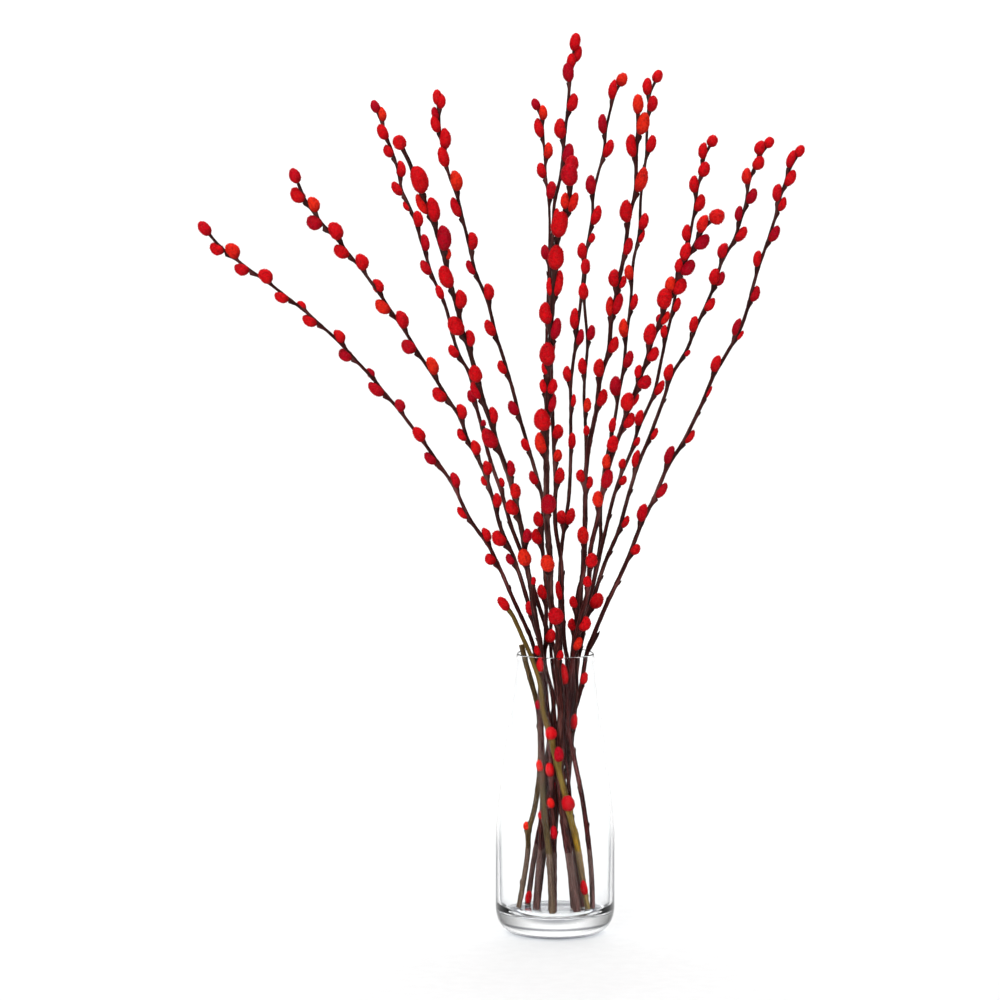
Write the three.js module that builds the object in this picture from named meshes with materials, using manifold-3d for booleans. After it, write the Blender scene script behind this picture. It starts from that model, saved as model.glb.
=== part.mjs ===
// Willow stems with their catkins, standing in a clear glass vase.
// Millimetres, +Z up. The origin is the centre of the vase's flat foot, and -Y is the front.

import * as THREE from "three";
import { mergeVertices } from "three/addons/utils/BufferGeometryUtils.js";
import Module from "manifold-3d";

const wasm = await Module();
wasm.setup();

// Vase: a turned shape with a thick clear base
const vaseHeight = 284;
const rimRadius = 39;
const bellyRadius = 60;
const bellyTop = 104;
const footRadius = 40;
const heel = { out: bellyRadius - footRadius, up: 27 };
const baseThickness = 22;
const floorCorner = { out: 9, up: 11 };
const floorWall = 4.5;
const bellyWall = 3;
const rimWall = 2.2;
const vaseSides = 32;
const shoulder = { start: 0.72, middle: 0.7, end: -0.42 };
const wallHeights = [bellyTop, 135, 170, 205, 245];
const arcSteps = { heel: 4, rim: 3, corner: 4 };

// Stems: a gap stays between neighbours, and each foot sits just over the floor of the vase
const bunchHeight = 900;
const touchGap = 0.3;
const stemSides = 4;
const ringEvery = 3;
const lineSteps = 400;
const lineTension = 0.5;
const easeGap = 1.4;
const easeRounds = 220;
const easeLevel = 12;
const easeSpread = 4;
const easeShare = 1.2;
const easeMost = 1.5;
const sliceSize = { stem: 1.06, catkin: 0.5, catkinEnd: 0.25 };
const sliceRange = [-0.25, 1.2];

// Catkins: eggs that lean out a little from the stem, widest in their lower third
const catkinSides = 4;
const catkinLean = { baseStem: 0.3, baseWidth: 0.16, tipStem: 0.8, tipWidth: 0.44 };
const catkinOutline = [[0, 0], [0.54, 0.42], [0, 1]];
const tipSunk = 0.35;

// The side of the stem that a catkin sits on: right, left, front, behind and the corners between
const sideAngle = { R: 0, RB: 45, LB: 135, L: 180, LF: 225, FL: 245, F: 270, FR: 295, RF: 320 };
const sideTurn = 22;
const turnStep = 2.4;

// Each stem: the radius at its foot and tip, where the foot stands, the line that it follows as
// [across, depth, height], and its catkins as [side, height of the base, length, width].
// A catkin on side T crowns the tip.
const stems = [
  {
    name: "willow_stem_01",
    radius: [2.5, 1.2],
    foot: [28, 10],
    line: [
      [21, 6, 75], [9, -1, 132], [-2, -5, 176], [-13, -4, 237], [-21, -3, 287], [-28, -2, 307],
      [-44, -1, 342], [-62, 0, 383], [-86, -1, 420], [-106, -2, 459], [-136, -4, 502], [-167, -6, 542],
      [-198, -9, 578], [-229, -12, 610], [-264, -15, 640], [-296, -17, 664], [-328, -19, 688],
      [-346, -20, 708],
    ],
    catkins: [
      ["L", 375, 11, 10], ["R", 394, 14, 9], ["L", 420, 14, 7], ["R", 448, 16, 9], ["LB", 472, 12, 6],
      ["L", 476, 14, 9], ["F", 497, 16, 10], ["R", 526, 12, 9], ["L", 545, 18, 10], ["RB", 560, 10, 7],
      ["L", 581, 14, 11], ["R", 594, 14, 10], ["L", 616, 15, 10], ["RB", 628, 10, 7],
      ["L", 640, 14, 9], ["R", 655, 15, 12], ["L", 669, 14, 11], ["R", 679, 16, 12],
      ["L", 688, 14, 11], ["T", 0, 16, 11],
    ],
  },
  {
    name: "willow_stem_02",
    radius: [2.6, 1.2],
    foot: [-1, -22],
    line: [
      [-1, -18, 79], [-3, -14, 134], [-5, -11, 177], [-8, -9, 227], [-14, -7, 286], [-23, -8, 318],
      [-29, -9, 341], [-42, -11, 383], [-55, -13, 412], [-68, -17, 459], [-87, -21, 500],
      [-98, -24, 527], [-127, -29, 573], [-154, -34, 616], [-184, -39, 660], [-208, -43, 691],
      [-241, -47, 730], [-256, -50, 761],
    ],
    catkins: [
      ["F", 96, 14, 6], ["LF", 128, 10, 7], ["F", 160, 14, 8], ["F", 323, 14, 9], ["L", 375, 11, 8],
      ["L", 395, 16, 13], ["RF", 431, 14, 8], ["L", 454, 10, 6], ["R", 463, 14, 9], ["RF", 484, 15, 9],
      ["L", 500, 13, 8], ["R", 519, 15, 10], ["L", 541, 16, 12], ["R", 564, 18, 11],
      ["L", 590, 15, 12], ["R", 611, 18, 11], ["L", 629, 17, 11], ["RB", 646, 14, 10],
      ["R", 669, 16, 12], ["L", 685, 16, 11], ["R", 699, 18, 13], ["L", 715, 15, 13],
      ["R", 726, 15, 11], ["L", 739, 16, 13], ["T", 0, 15, 11],
    ],
  },
  {
    name: "willow_stem_03",
    firm: true,
    radius: [2.6, 1.1],
    foot: [38, 0],
    line: [
      [37, 0, 54], [34, -1, 88], [27, -9, 138], [19, -12, 178], [12, -10, 217], [11, -9, 245],
      [3, -5, 277], [-12, 3, 317], [-24, 9, 354], [-35, 14, 386], [-44, 18, 409], [-54, 28, 442],
      [-66, 36, 477], [-77, 46, 519], [-86, 54, 559], [-99, 60, 585], [-111, 70, 629], [-123, 76, 656],
      [-134, 83, 688], [-145, 91, 723], [-155, 96, 744], [-161, 101, 772], [-168, 105, 791],
      [-181, 110, 825],
    ],
    catkins: [
      ["F", 252, 22, 8], ["R", 446, 10, 6], ["R", 507, 6, 5], ["L", 531, 13, 7], ["L", 577, 14, 9],
      ["F", 634, 14, 7], ["L", 659, 16, 8], ["R", 681, 17, 8], ["RF", 705, 16, 9], ["LB", 723, 11, 6],
      ["L", 739, 16, 9], ["R", 755, 17, 9], ["L", 777, 13, 9], ["FL", 794, 16, 10], ["R", 811, 15, 8],
      ["T", 0, 13, 9],
    ],
  },
  {
    name: "willow_stem_04",
    firm: true,
    radius: [3.2, 1.7],
    foot: [-3, -36],
    line: [
      [-6, -27, 81], [-12, -18, 134], [-13, -12, 177], [-15, -13, 228], [-14, -16, 283],
      [-19, -20, 315], [-24, -26, 346], [-31, -37, 391], [-37, -46, 429], [-48, -57, 470],
      [-59, -67, 504], [-71, -78, 542], [-81, -88, 579], [-92, -98, 615], [-102, -109, 655],
      [-111, -118, 690], [-121, -128, 724], [-133, -136, 753], [-144, -144, 783], [-151, -148, 797],
    ],
    catkins: [
      ["LF", 164, 12, 6], ["LF", 228, 9, 5], ["F", 266, 14, 6], ["L", 283, 10, 6], ["R", 355, 8, 5],
      ["F", 377, 18, 12], ["RF", 399, 14, 9], ["LF", 429, 16, 11], ["FR", 445, 16, 10],
      ["R", 466, 16, 8], ["LF", 498, 22, 13], ["R", 519, 17, 9], ["L", 546, 18, 9], ["F", 564, 18, 12],
      ["R", 597, 16, 9], ["FL", 612, 20, 14], ["R", 635, 18, 12], ["FL", 658, 24, 13],
      ["RB", 683, 12, 8], ["RF", 693, 25, 13], ["R", 721, 25, 11], ["L", 730, 22, 8],
      ["FR", 750, 28, 15], ["T", 0, 14, 12],
    ],
  },
  {
    name: "willow_stem_05",
    radius: [2.4, 1.2],
    foot: [20, -13],
    line: [
      [15, -10, 78], [8, -6, 146], [3, -9, 192], [-3, -8, 240], [-11, 1, 273], [-10, -1, 304],
      [-9, -5, 346], [-13, -9, 394], [-13, -14, 439], [-21, -16, 471], [-34, -18, 516],
      [-46, -20, 562], [-59, -21, 604], [-68, -22, 638], [-81, -23, 672], [-90, -24, 711],
      [-97, -25, 739], [-106, -26, 764], [-112, -26, 788], [-115, -27, 813], [-117, -28, 837],
    ],
    catkins: [
      ["R", 295, 13, 10], ["L", 338, 15, 9], ["L", 394, 15, 11], ["L", 412, 15, 10], ["L", 455, 14, 8],
      ["FL", 489, 13, 7], ["L", 525, 15, 9], ["L", 566, 14, 8], ["L", 604, 17, 9], ["R", 638, 16, 10],
      ["L", 665, 15, 7], ["R", 688, 17, 10], ["L", 722, 20, 9], ["R", 746, 20, 11],
      ["FL", 771, 20, 10], ["R", 788, 20, 11], ["L", 805, 17, 9], ["L", 818, 12, 7], ["R", 828, 14, 8],
      ["T", 0, 15, 9],
    ],
  },
  {
    name: "willow_stem_06",
    radius: [2.0, 1.0],
    foot: [24, 22],
    line: [
      [20, 14, 74], [15, 3, 131], [11, -4, 176], [5, -3, 226], [-4, 8, 280], [-4, 27, 324],
      [-6, 48, 372], [-8, 70, 431], [-8, 95, 510], [-8, 115, 590], [-6, 129, 650], [-5, 136, 684],
      [-5, 143, 718], [-9, 152, 762], [-11, 160, 797], [-13, 163, 812], [-18, 165, 826],
    ],
    catkins: [
      ["L", 670, 15, 9], ["RF", 731, 18, 10], ["L", 753, 16, 9], ["R", 772, 17, 9], ["L", 794, 20, 9],
      ["R", 811, 15, 8], ["T", 0, 12, 8],
    ],
  },
  {
    name: "willow_stem_07",
    firm: true,
    radius: [3.8, 1.9],
    foot: [22, -27],
    line: [
      [15, -21, 72], [9, -14, 110], [5, -10, 156], [5, -12, 201], [5, -15, 241], [1, -18, 283],
      [3, -28, 308], [-5, -44, 340], [-6, -66, 385], [-10, -88, 432], [-10, -102, 465],
      [-10, -118, 507], [-10, -131, 548], [-8, -143, 585], [-6, -153, 624], [-4, -163, 663],
      [-3, -170, 690], [2, -176, 715], [9, -181, 736], [12, -186, 760], [13, -190, 778],
    ],
    catkins: [
      ["RF", 279, 10, 6], ["F", 320, 18, 14], ["F", 376, 19, 13], ["F", 436, 22, 14],
      ["L", 495, 22, 11], ["FL", 520, 23, 15], ["R", 536, 20, 9], ["R", 556, 15, 9], ["L", 556, 14, 7],
      ["L", 574, 14, 6], ["F", 585, 24, 14], ["RB", 593, 14, 6], ["R", 609, 22, 9], ["L", 624, 21, 12],
      ["R", 651, 26, 9], ["L", 651, 18, 6], ["F", 679, 25, 14], ["FL", 710, 26, 14], ["R", 734, 20, 8],
      ["L", 736, 16, 8], ["F", 760, 22, 15], ["T", 0, 15, 12],
    ],
  },
  {
    name: "willow_stem_08",
    radius: [2.5, 1.2],
    foot: [-3, 4],
    line: [
      [-2, 8, 75], [0, 12, 129], [5, 12, 173], [10, 8, 225], [13, 5, 273], [9, 6, 296], [7, 11, 344],
      [6, 15, 374], [0, 20, 411], [0, 24, 451], [-2, 28, 496], [-4, 31, 566], [-5, 34, 636],
      [-3, 36, 696], [-1, 37, 733], [4, 38, 754], [8, 38, 786], [11, 39, 818], [14, 39, 848],
      [17, 40, 876], [19, 40, 890],
    ],
    catkins: [
      ["F", 142, 7, 5], ["L", 334, 20, 6], ["R", 451, 16, 10], ["RF", 473, 12, 8], ["R", 496, 14, 10],
      ["R", 715, 12, 5], ["R", 773, 19, 11], ["L", 796, 20, 12], ["R", 824, 18, 10],
      ["LF", 853, 19, 11], ["F", 867, 14, 8], ["R", 873, 17, 9], ["T", 0, 18, 10],
    ],
  },
  {
    name: "willow_stem_09",
    radius: [2.2, 1.2],
    foot: [18, 5],
    line: [
      [14, 8, 75], [13, 7, 130], [15, 4, 174], [17, 2, 226], [20, -1, 281], [24, -3, 307],
      [26, -5, 348], [28, -8, 399], [30, -12, 449], [30, -16, 500], [28, -19, 545], [31, -22, 595],
      [28, -24, 640], [29, -25, 670],
    ],
    catkins: [
      ["F", 205, 16, 6], ["F", 504, 10, 6], ["R", 527, 14, 7], ["L", 565, 16, 8], ["R", 599, 15, 8],
      ["F", 640, 16, 9], ["T", 0, 15, 9],
    ],
  },
  {
    name: "willow_stem_10",
    radius: [2.3, 1.1],
    foot: [-18, -5],
    line: [
      [-15, -3, 77], [-14, 0, 131], [-9, 3, 175], [-2, 8, 225], [5, 14, 279], [5, 24, 324],
      [5, 33, 364], [8, 40, 396], [14, 48, 436], [16, 56, 483], [16, 66, 542], [20, 73, 583],
      [25, 79, 621], [29, 86, 658], [32, 90, 683], [38, 96, 718], [40, 100, 743], [50, 107, 784],
      [53, 112, 809], [61, 117, 839], [67, 120, 852],
    ],
    catkins: [
      ["F", 115, 8, 6], ["L", 408, 13, 10], ["R", 408, 17, 9], ["F", 483, 16, 7], ["R", 524, 14, 5],
      ["L", 550, 16, 9], ["R", 587, 17, 8], ["L", 602, 22, 9], ["L", 673, 16, 9], ["R", 690, 10, 6],
      ["R", 708, 20, 9], ["L", 738, 19, 10], ["R", 776, 19, 9], ["L", 799, 20, 9], ["L", 833, 20, 8],
      ["T", 0, 14, 11],
    ],
  },
  {
    name: "willow_stem_11",
    radius: [3.0, 1.5],
    foot: [-4, -9],
    line: [
      [-3, -4, 77], [0, 4, 131], [7, 8, 174], [13, 3, 225], [16, -5, 281], [21, -12, 314],
      [23, -20, 348], [28, -25, 371], [29, -37, 424], [29, -45, 460], [32, -53, 495], [38, -59, 526],
      [43, -67, 563], [51, -73, 594], [54, -80, 626], [60, -86, 658], [66, -93, 691], [71, -100, 728],
      [76, -105, 752], [77, -112, 791], [78, -117, 815], [78, -120, 832],
    ],
    catkins: [
      ["L", 307, 12, 8], ["L", 331, 12, 8], ["F", 398, 18, 10], ["R", 453, 12, 7], ["L", 460, 12, 9],
      ["R", 537, 18, 9], ["L", 566, 18, 10], ["R", 591, 17, 9], ["L", 626, 20, 7], ["RF", 629, 22, 8],
      ["L", 655, 17, 11], ["R", 655, 12, 7], ["RF", 688, 18, 8], ["LF", 720, 22, 12],
      ["RF", 750, 25, 11], ["L", 783, 22, 11], ["RF", 806, 22, 12], ["T", 0, 19, 10],
    ],
  },
  {
    name: "willow_stem_12",
    radius: [2.2, 1.1],
    foot: [-3, 20],
    line: [
      [-1, 20, 73], [3, 16, 129], [12, 11, 173], [12, 8, 225], [14, 8, 245], [17, 12, 279],
      [31, 30, 318], [39, 38, 353], [46, 46, 392], [46, 53, 419], [50, 62, 462], [58, 71, 498],
      [64, 78, 531], [70, 86, 567], [74, 93, 604], [78, 100, 639], [80, 106, 670], [86, 112, 702],
      [88, 119, 738], [93, 126, 776], [94, 130, 798], [97, 137, 837], [104, 140, 855],
    ],
    catkins: [
      ["FL", 498, 15, 6], ["L", 534, 20, 11], ["R", 563, 18, 9], ["L", 593, 19, 9], ["R", 621, 17, 7],
      ["LF", 651, 15, 9], ["R", 689, 15, 6], ["R", 702, 17, 9], ["R", 780, 18, 9], ["RF", 821, 16, 10],
      ["L", 837, 18, 9], ["T", 0, 13, 10],
    ],
  },
  {
    name: "willow_stem_13",
    radius: [2.4, 1.1],
    foot: [-17, 32],
    line: [
      [-11, 31, 71], [-2, 29, 126], [9, 28, 171], [18, 25, 222], [24, 18, 278], [29, 19, 304],
      [35, 24, 334], [42, 29, 365], [51, 36, 404], [62, 43, 447], [74, 48, 475], [85, 54, 506],
      [100, 60, 541], [108, 65, 576], [116, 70, 611], [123, 74, 644], [134, 78, 684], [140, 82, 719],
      [145, 85, 749], [151, 88, 776], [158, 90, 791],
    ],
    catkins: [
      ["R", 449, 10, 7], ["L", 463, 10, 7], ["R", 487, 10, 5], ["L", 506, 16, 8], ["R", 538, 17, 7],
      ["L", 594, 13, 7], ["R", 621, 15, 7], ["L", 691, 17, 9], ["R", 722, 18, 10], ["L", 740, 17, 10],
      ["RF", 757, 15, 11], ["L", 774, 16, 9], ["T", 0, 12, 11],
    ],
  },
  {
    name: "willow_stem_14",
    radius: [3.0, 1.5],
    foot: [-19, 5],
    line: [
      [-15, 3, 76], [-7, 5, 131], [0, 5, 174], [10, -1, 226], [18, -14, 289], [24, -27, 320],
      [32, -42, 353], [34, -58, 394], [41, -70, 427], [48, -83, 466], [58, -94, 502], [69, -105, 537],
      [82, -115, 572], [91, -124, 602], [102, -132, 632], [114, -140, 664], [128, -149, 694],
      [143, -156, 720], [151, -160, 727],
    ],
    catkins: [
      ["RF", 289, 15, 7], ["R", 310, 14, 12], ["F", 357, 12, 8], ["F", 378, 16, 11],
      ["LF", 439, 17, 10], ["FR", 459, 21, 10], ["L", 477, 15, 8], ["FL", 495, 17, 10],
      ["R", 520, 16, 10], ["LF", 537, 19, 12], ["RB", 541, 14, 6], ["RF", 561, 14, 12],
      ["L", 568, 13, 7], ["R", 587, 15, 10], ["L", 602, 21, 11], ["LB", 623, 8, 6], ["R", 623, 14, 7],
      ["LF", 638, 21, 14], ["R", 654, 17, 12], ["L", 654, 15, 9], ["R", 673, 17, 11],
      ["L", 673, 14, 8], ["L", 685, 17, 10], ["R", 699, 17, 12], ["L", 712, 18, 10], ["T", 0, 15, 14],
    ],
  },
  {
    name: "willow_stem_15",
    radius: [2.5, 1.2],
    foot: [-20, 18],
    line: [
      [-16, 16, 73], [-11, 14, 129], [-5, 13, 173], [9, 15, 224], [14, 15, 244], [23, 10, 279],
      [31, 9, 316], [41, 13, 346], [50, 16, 373], [63, 20, 404], [75, 24, 445], [85, 27, 475],
      [97, 29, 505], [108, 32, 534], [118, 34, 562], [133, 36, 588], [145, 38, 617], [157, 40, 644],
      [167, 42, 673], [180, 44, 698], [190, 46, 729], [196, 48, 759], [208, 50, 784], [213, 50, 791],
    ],
    catkins: [
      ["RF", 328, 16, 12], ["R", 408, 13, 7], ["L", 466, 18, 8], ["R", 496, 13, 6], ["L", 553, 17, 9],
      ["R", 580, 7, 4], ["L", 602, 16, 8], ["R", 625, 15, 8], ["LF", 650, 16, 9], ["R", 650, 15, 8],
      ["L", 675, 16, 10], ["R", 695, 17, 9], ["L", 713, 15, 8], ["R", 732, 16, 9], ["L", 750, 16, 9],
      ["RF", 766, 14, 10], ["L", 779, 14, 10], ["T", 0, 11, 9],
    ],
  },
  {
    name: "willow_stem_16",
    radius: [2.7, 1.2],
    foot: [-28, 26],
    line: [
      [-21, 28, 71], [-10, 27, 127], [0, 21, 172], [11, 17, 203], [22, 9, 236], [29, 2, 273],
      [32, -1, 287], [39, -3, 304], [51, -5, 333], [68, -8, 370], [83, -10, 408], [100, -12, 446],
      [112, -13, 473], [128, -15, 500], [142, -17, 529], [155, -19, 560], [171, -20, 589],
      [185, -22, 616], [195, -24, 653], [206, -26, 689], [215, -28, 717], [222, -29, 744],
      [233, -30, 776], [239, -30, 785],
    ],
    catkins: [
      ["F", 23, 13, 6], ["F", 251, 13, 7], ["R", 385, 11, 8], ["L", 416, 18, 9], ["R", 442, 17, 8],
      ["L", 473, 19, 9], ["R", 497, 15, 7], ["R", 541, 14, 3], ["L", 566, 17, 9], ["R", 600, 11, 4],
      ["L", 602, 18, 8], ["R", 638, 16, 9], ["L", 671, 16, 8], ["R", 698, 17, 9], ["R", 728, 14, 8],
      ["L", 736, 17, 9], ["RF", 753, 17, 9], ["L", 769, 18, 8], ["T", 0, 12, 9],
    ],
  },
  {
    name: "short_willow_stem",
    olive: true,
    firm: true,
    radius: [2.6, 2.0],
    foot: [33, -5],
    line: [
      [28, -7, 52], [21, -11, 96], [13, -16, 127], [7, -19, 154], [1, -20, 175], [-6, -19, 205],
      [-12, -18, 226], [-15, -17, 253], [-23, -15, 279], [-34, -16, 304], [-42, -16, 322],
      [-50, -16, 333],
    ],
    catkins: [
      ["F", 38, 16, 6], ["F", 127, 16, 12], ["R", 175, 15, 9], ["F", 199, 12, 11], ["T", 0, 16, 9],
    ],
  },
  {
    name: "cut_willow_twig",
    firm: true,
    radius: [2.6, 2.6],
    foot: [-37, 6],
    line: [
      [-33, 7, 44], [-28, 6, 76], [-26, 4, 102], [-20, 1, 129], [-16, -3, 160], [-15, -3, 192],
      [-17, -1, 226], [-24, 0, 254], [-28, 1, 268], [-31, 2, 279], [-34, 3, 292],
    ],
    catkins: [
      ["L", 102, 8, 6],
    ],
  },
];

const glass = new THREE.MeshStandardMaterial({
  color: 0xeef3f5,
  roughness: 0.03,
  metalness: 0,
  transparent: true,
  opacity: 0.25,
});
const bark = new THREE.MeshStandardMaterial({ color: 0x4a2420, roughness: 0.6, metalness: 0 });
const oliveBark = new THREE.MeshStandardMaterial({ color: 0x6b5420, roughness: 0.6, metalness: 0 });

// How far a rounded corner has swung in: 1 at its start and 0 at its end
function quarterRound(drop) {
  return Math.sqrt(Math.max(0, 1 - drop * drop));
}

// Radius of the vase's outside at a height: a round heel, an upright belly, then a taper to the rim
function outsideRadius(height) {
  if (height < heel.up) return footRadius + heel.out * quarterRound((heel.up - height) / heel.up);
  if (height < bellyTop) return bellyRadius;
  const rise = (height - bellyTop) / (vaseHeight - bellyTop);
  const eased = rise * (shoulder.start + shoulder.middle * rise + shoulder.end * rise * rise);
  return bellyRadius + (rimRadius - bellyRadius) * eased;
}

function wallAt(height) {
  const lower = Math.max(0, (bellyTop - height) / (bellyTop - baseThickness));
  const upper = Math.max(0, (height - bellyTop) / (vaseHeight - bellyTop));
  return bellyWall + (floorWall - bellyWall) * lower + (rimWall - bellyWall) * upper;
}

function insideRadius(height) {
  const clear = outsideRadius(Math.max(height, heel.up)) - wallAt(height);
  const drop = (baseThickness + floorCorner.up - height) / floorCorner.up;
  if (drop <= 0) return clear;
  return clear - floorCorner.out + floorCorner.out * quarterRound(drop);
}

function arcPoints(centreX, centreY, out, up, from, to, steps) {
  const points = [];
  for (let i = 0; i <= steps; i += 1) {
    const angle = THREE.MathUtils.degToRad(from + ((to - from) * i) / steps);
    points.push(new THREE.Vector2(centreX + out * Math.cos(angle), centreY + up * Math.sin(angle)));
  }
  return points;
}

function makeVase() {
  const rimRound = rimWall / 2;
  const profile = [new THREE.Vector2(0, 0)];
  profile.push(...arcPoints(footRadius, heel.up, heel.out, heel.up, -90, 0, arcSteps.heel));
  for (const height of wallHeights) profile.push(new THREE.Vector2(outsideRadius(height), height));
  const rimHeight = vaseHeight - rimRound;
  profile.push(...arcPoints(rimRadius - rimRound, rimHeight, rimRound, rimRound, 0, 180, arcSteps.rim));
  for (const height of [...wallHeights].reverse()) {
    profile.push(new THREE.Vector2(insideRadius(height), height));
  }
  const cornerTop = baseThickness + floorCorner.up;
  const corner = { x: insideRadius(cornerTop) - floorCorner.out, y: cornerTop };
  profile.push(...arcPoints(corner.x, corner.y, floorCorner.out, floorCorner.up, 0, -90, arcSteps.corner));
  profile.push(new THREE.Vector2(0, baseThickness));
  const geometry = new THREE.LatheGeometry(profile, vaseSides);
  geometry.rotateX(Math.PI / 2);
  return geometry;
}

// The line of a stem as a curve from its foot to its tip
function stemCurve(stem) {
  const [next] = stem.line;
  const lean = Math.hypot(next[0] - stem.foot[0], next[1] - stem.foot[1]) / (next[2] - baseThickness);
  const seat = baseThickness + touchGap + stem.radius[0] * lean;
  const points = [[...stem.foot, seat], ...stem.line].map((p) => new THREE.Vector3(...p));
  return new THREE.CatmullRomCurve3(points, false, "catmullrom", lineTension);
}

// Points of a stem at every easeLevel of height, and one at its very tip
function levelPoints(curve) {
  const fine = curve.getPoints(lineSteps);
  const points = [fine[0].clone()];
  let level = Math.ceil((fine[0].z + easeLevel / 2) / easeLevel) * easeLevel;
  const tip = fine[fine.length - 1];
  for (let i = 1; i < fine.length; i += 1) {
    while (fine[i].z >= level && level < tip.z - easeLevel / 2) {
      const share = (level - fine[i - 1].z) / (fine[i].z - fine[i - 1].z);
      points.push(fine[i - 1].clone().lerp(fine[i], share));
      level += easeLevel;
    }
  }
  points.push(tip.clone());
  return points;
}

// Where a height falls between the points of a stem
function atHeight(points, height) {
  let i = 1;
  while (i < points.length - 1 && points[i].z < height) i += 1;
  const share = (height - points[i - 1].z) / (points[i].z - points[i - 1].z);
  const along = points[i].clone().sub(points[i - 1]).normalize();
  return { point: points[i - 1].clone().lerp(points[i], share), along };
}

function stemRadiusAt(stem, points, height) {
  const share = (height - points[0].z) / (points[points.length - 1].z - points[0].z);
  return stem.radius[0] + (stem.radius[1] - stem.radius[0]) * share;
}

// A direction square to the stem that points towards an angle seen from above
function sideways(along, degrees) {
  const angle = THREE.MathUtils.degToRad(degrees);
  const out = new THREE.Vector3(Math.cos(angle), Math.sin(angle), 0);
  return out.addScaledVector(along, -out.dot(along)).normalize();
}

// Base, tip and width of a catkin on its stem
function catkinPlace(stem, points, catkin, index) {
  const [side, height, length, width] = catkin;
  if (side === "T") {
    const tip = points[points.length - 1];
    const along = tip.clone().sub(points[points.length - 2]).normalize();
    const base = tip.clone().addScaledVector(along, -tipSunk * length);
    return { base, tip: base.clone().addScaledVector(along, length), width };
  }
  const { point, along } = atHeight(points, height);
  const turn = sideTurn * Math.sin(index * turnStep);
  const out = sideways(along, sideAngle[side] + turn);
  const radius = stemRadiusAt(stem, points, height);
  const lean = catkinLean;
  const base = point.clone().addScaledVector(out, lean.baseStem * radius + lean.baseWidth * width);
  const tip = point.clone().addScaledVector(along, length);
  tip.addScaledVector(out, lean.tipStem * radius + lean.tipWidth * width);
  return { base, tip, width };
}

// Round slices of a stem and its catkins at one height, to see where neighbours would touch
function slicesAt(stem, points, catkins, level, index) {
  const slices = [];
  if (level > points[points.length - 1].z || level < points[0].z - easeLevel / 2) return slices;
  const point = points[index];
  slices.push({ x: point.x, y: point.y, r: sliceSize.stem * stemRadiusAt(stem, points, level) });
  for (const { base, tip, width } of catkins) {
    const share = (level - base.z) / (tip.z - base.z);
    if (share < sliceRange[0] || share > sliceRange[1]) continue;
    const beyond = share < 0 || share > 1;
    const r = width * (beyond ? sliceSize.catkinEnd : sliceSize.catkin);
    slices.push({ x: base.x + (tip.x - base.x) * share, y: base.y + (tip.y - base.y) * share, r });
  }
  return slices;
}

// Eases the stems apart in depth where they or their catkins would touch, and keeps them in the vase
function easeApart(stems, lines) {
  const levels = bunchHeight / easeLevel;
  for (let round = 0; round < easeRounds; round += 1) {
    const catkins = lines.map((points, s) =>
      stems[s].catkins.map((catkin, i) => catkinPlace(stems[s], points, catkin, i)));
    const push = lines.map((points) => points.map(() => new THREE.Vector2()));
    for (let n = 1; n <= levels; n += 1) {
      const level = n * easeLevel;
      const rows = lines.map((points, s) => {
        const index = Math.round((level - points[1].z) / easeLevel) + 1;
        const found = index >= 0 && index < points.length;
        return { index, slices: found ? slicesAt(stems[s], points, catkins[s], level, index) : [] };
      });
      for (let a = 0; a < rows.length; a += 1) {
        for (let b = a + 1; b < rows.length; b += 1) {
          for (const one of rows[a].slices) {
            for (const two of rows[b].slices) {
              const reach = one.r + two.r + easeGap;
              const across = Math.abs(one.x - two.x);
              const apart = Math.abs(one.y - two.y);
              if (across >= reach) continue;
              const wanted = Math.sqrt(reach * reach - across * across);
              if (apart >= wanted) continue;
              const depthSide = one.y < two.y ? -1 : 1;
              push[a][rows[a].index].y += (depthSide * (wanted - apart)) / 2;
              push[b][rows[b].index].y -= (depthSide * (wanted - apart)) / 2;
              if (level > vaseHeight) continue;
              const side = one.x < two.x ? -1 : 1;
              const slack = (reach - Math.hypot(across, apart)) / 2;
              if (!stems[a].firm) push[a][rows[a].index].x += side * slack;
              if (!stems[b].firm) push[b][rows[b].index].x -= side * slack;
            }
          }
        }
        const { index, slices } = rows[a];
        if (slices.length && level < vaseHeight + easeLevel) {
          for (const { x, y, r } of slices) {
            const room = insideRadius(Math.min(level, vaseHeight)) - r - easeGap;
            const most = Math.sqrt(Math.max(1, room * room - x * x));
            if (Math.abs(y) > most) push[a][index].y += Math.sign(y) * (most - Math.abs(y));
          }
        }
      }
    }
    lines.forEach((points, s) => {
      points.forEach((point, i) => {
        const sum = new THREE.Vector2();
        let weight = 0;
        for (let k = -easeSpread; k <= easeSpread; k += 1) {
          if (i + k < 0 || i + k >= points.length) continue;
          const share = easeSpread + 1 - Math.abs(k);
          sum.addScaledVector(push[s][i + k], share);
          weight += share;
        }
        sum.multiplyScalar(easeShare / weight).clampLength(0, easeMost);
        point.x += sum.x;
        point.y += sum.y;
      });
    });
  }
}

// A tapered stem: a closed cylinder whose rings are set along the line
function makeStem(stem, rings) {
  const steps = rings.length - 1;
  const geometry = new THREE.CylinderGeometry(stem.radius[1], stem.radius[0], 1, stemSides, steps);
  const position = geometry.getAttribute("position");
  for (let i = 0; i < position.count; i += 1) {
    const ring = Math.round((position.getY(i) + 0.5) * steps);
    const centre = rings[ring].clone();
    const along = rings[Math.min(ring + 1, steps)].clone().sub(rings[Math.max(ring - 1, 0)]).normalize();
    const right = sideways(along, 0);
    const back = right.clone().cross(along);
    centre.addScaledVector(right, position.getX(i)).addScaledVector(back, position.getZ(i));
    position.setXYZ(i, centre.x, centre.y, centre.z);
  }
  return geometry;
}

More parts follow.
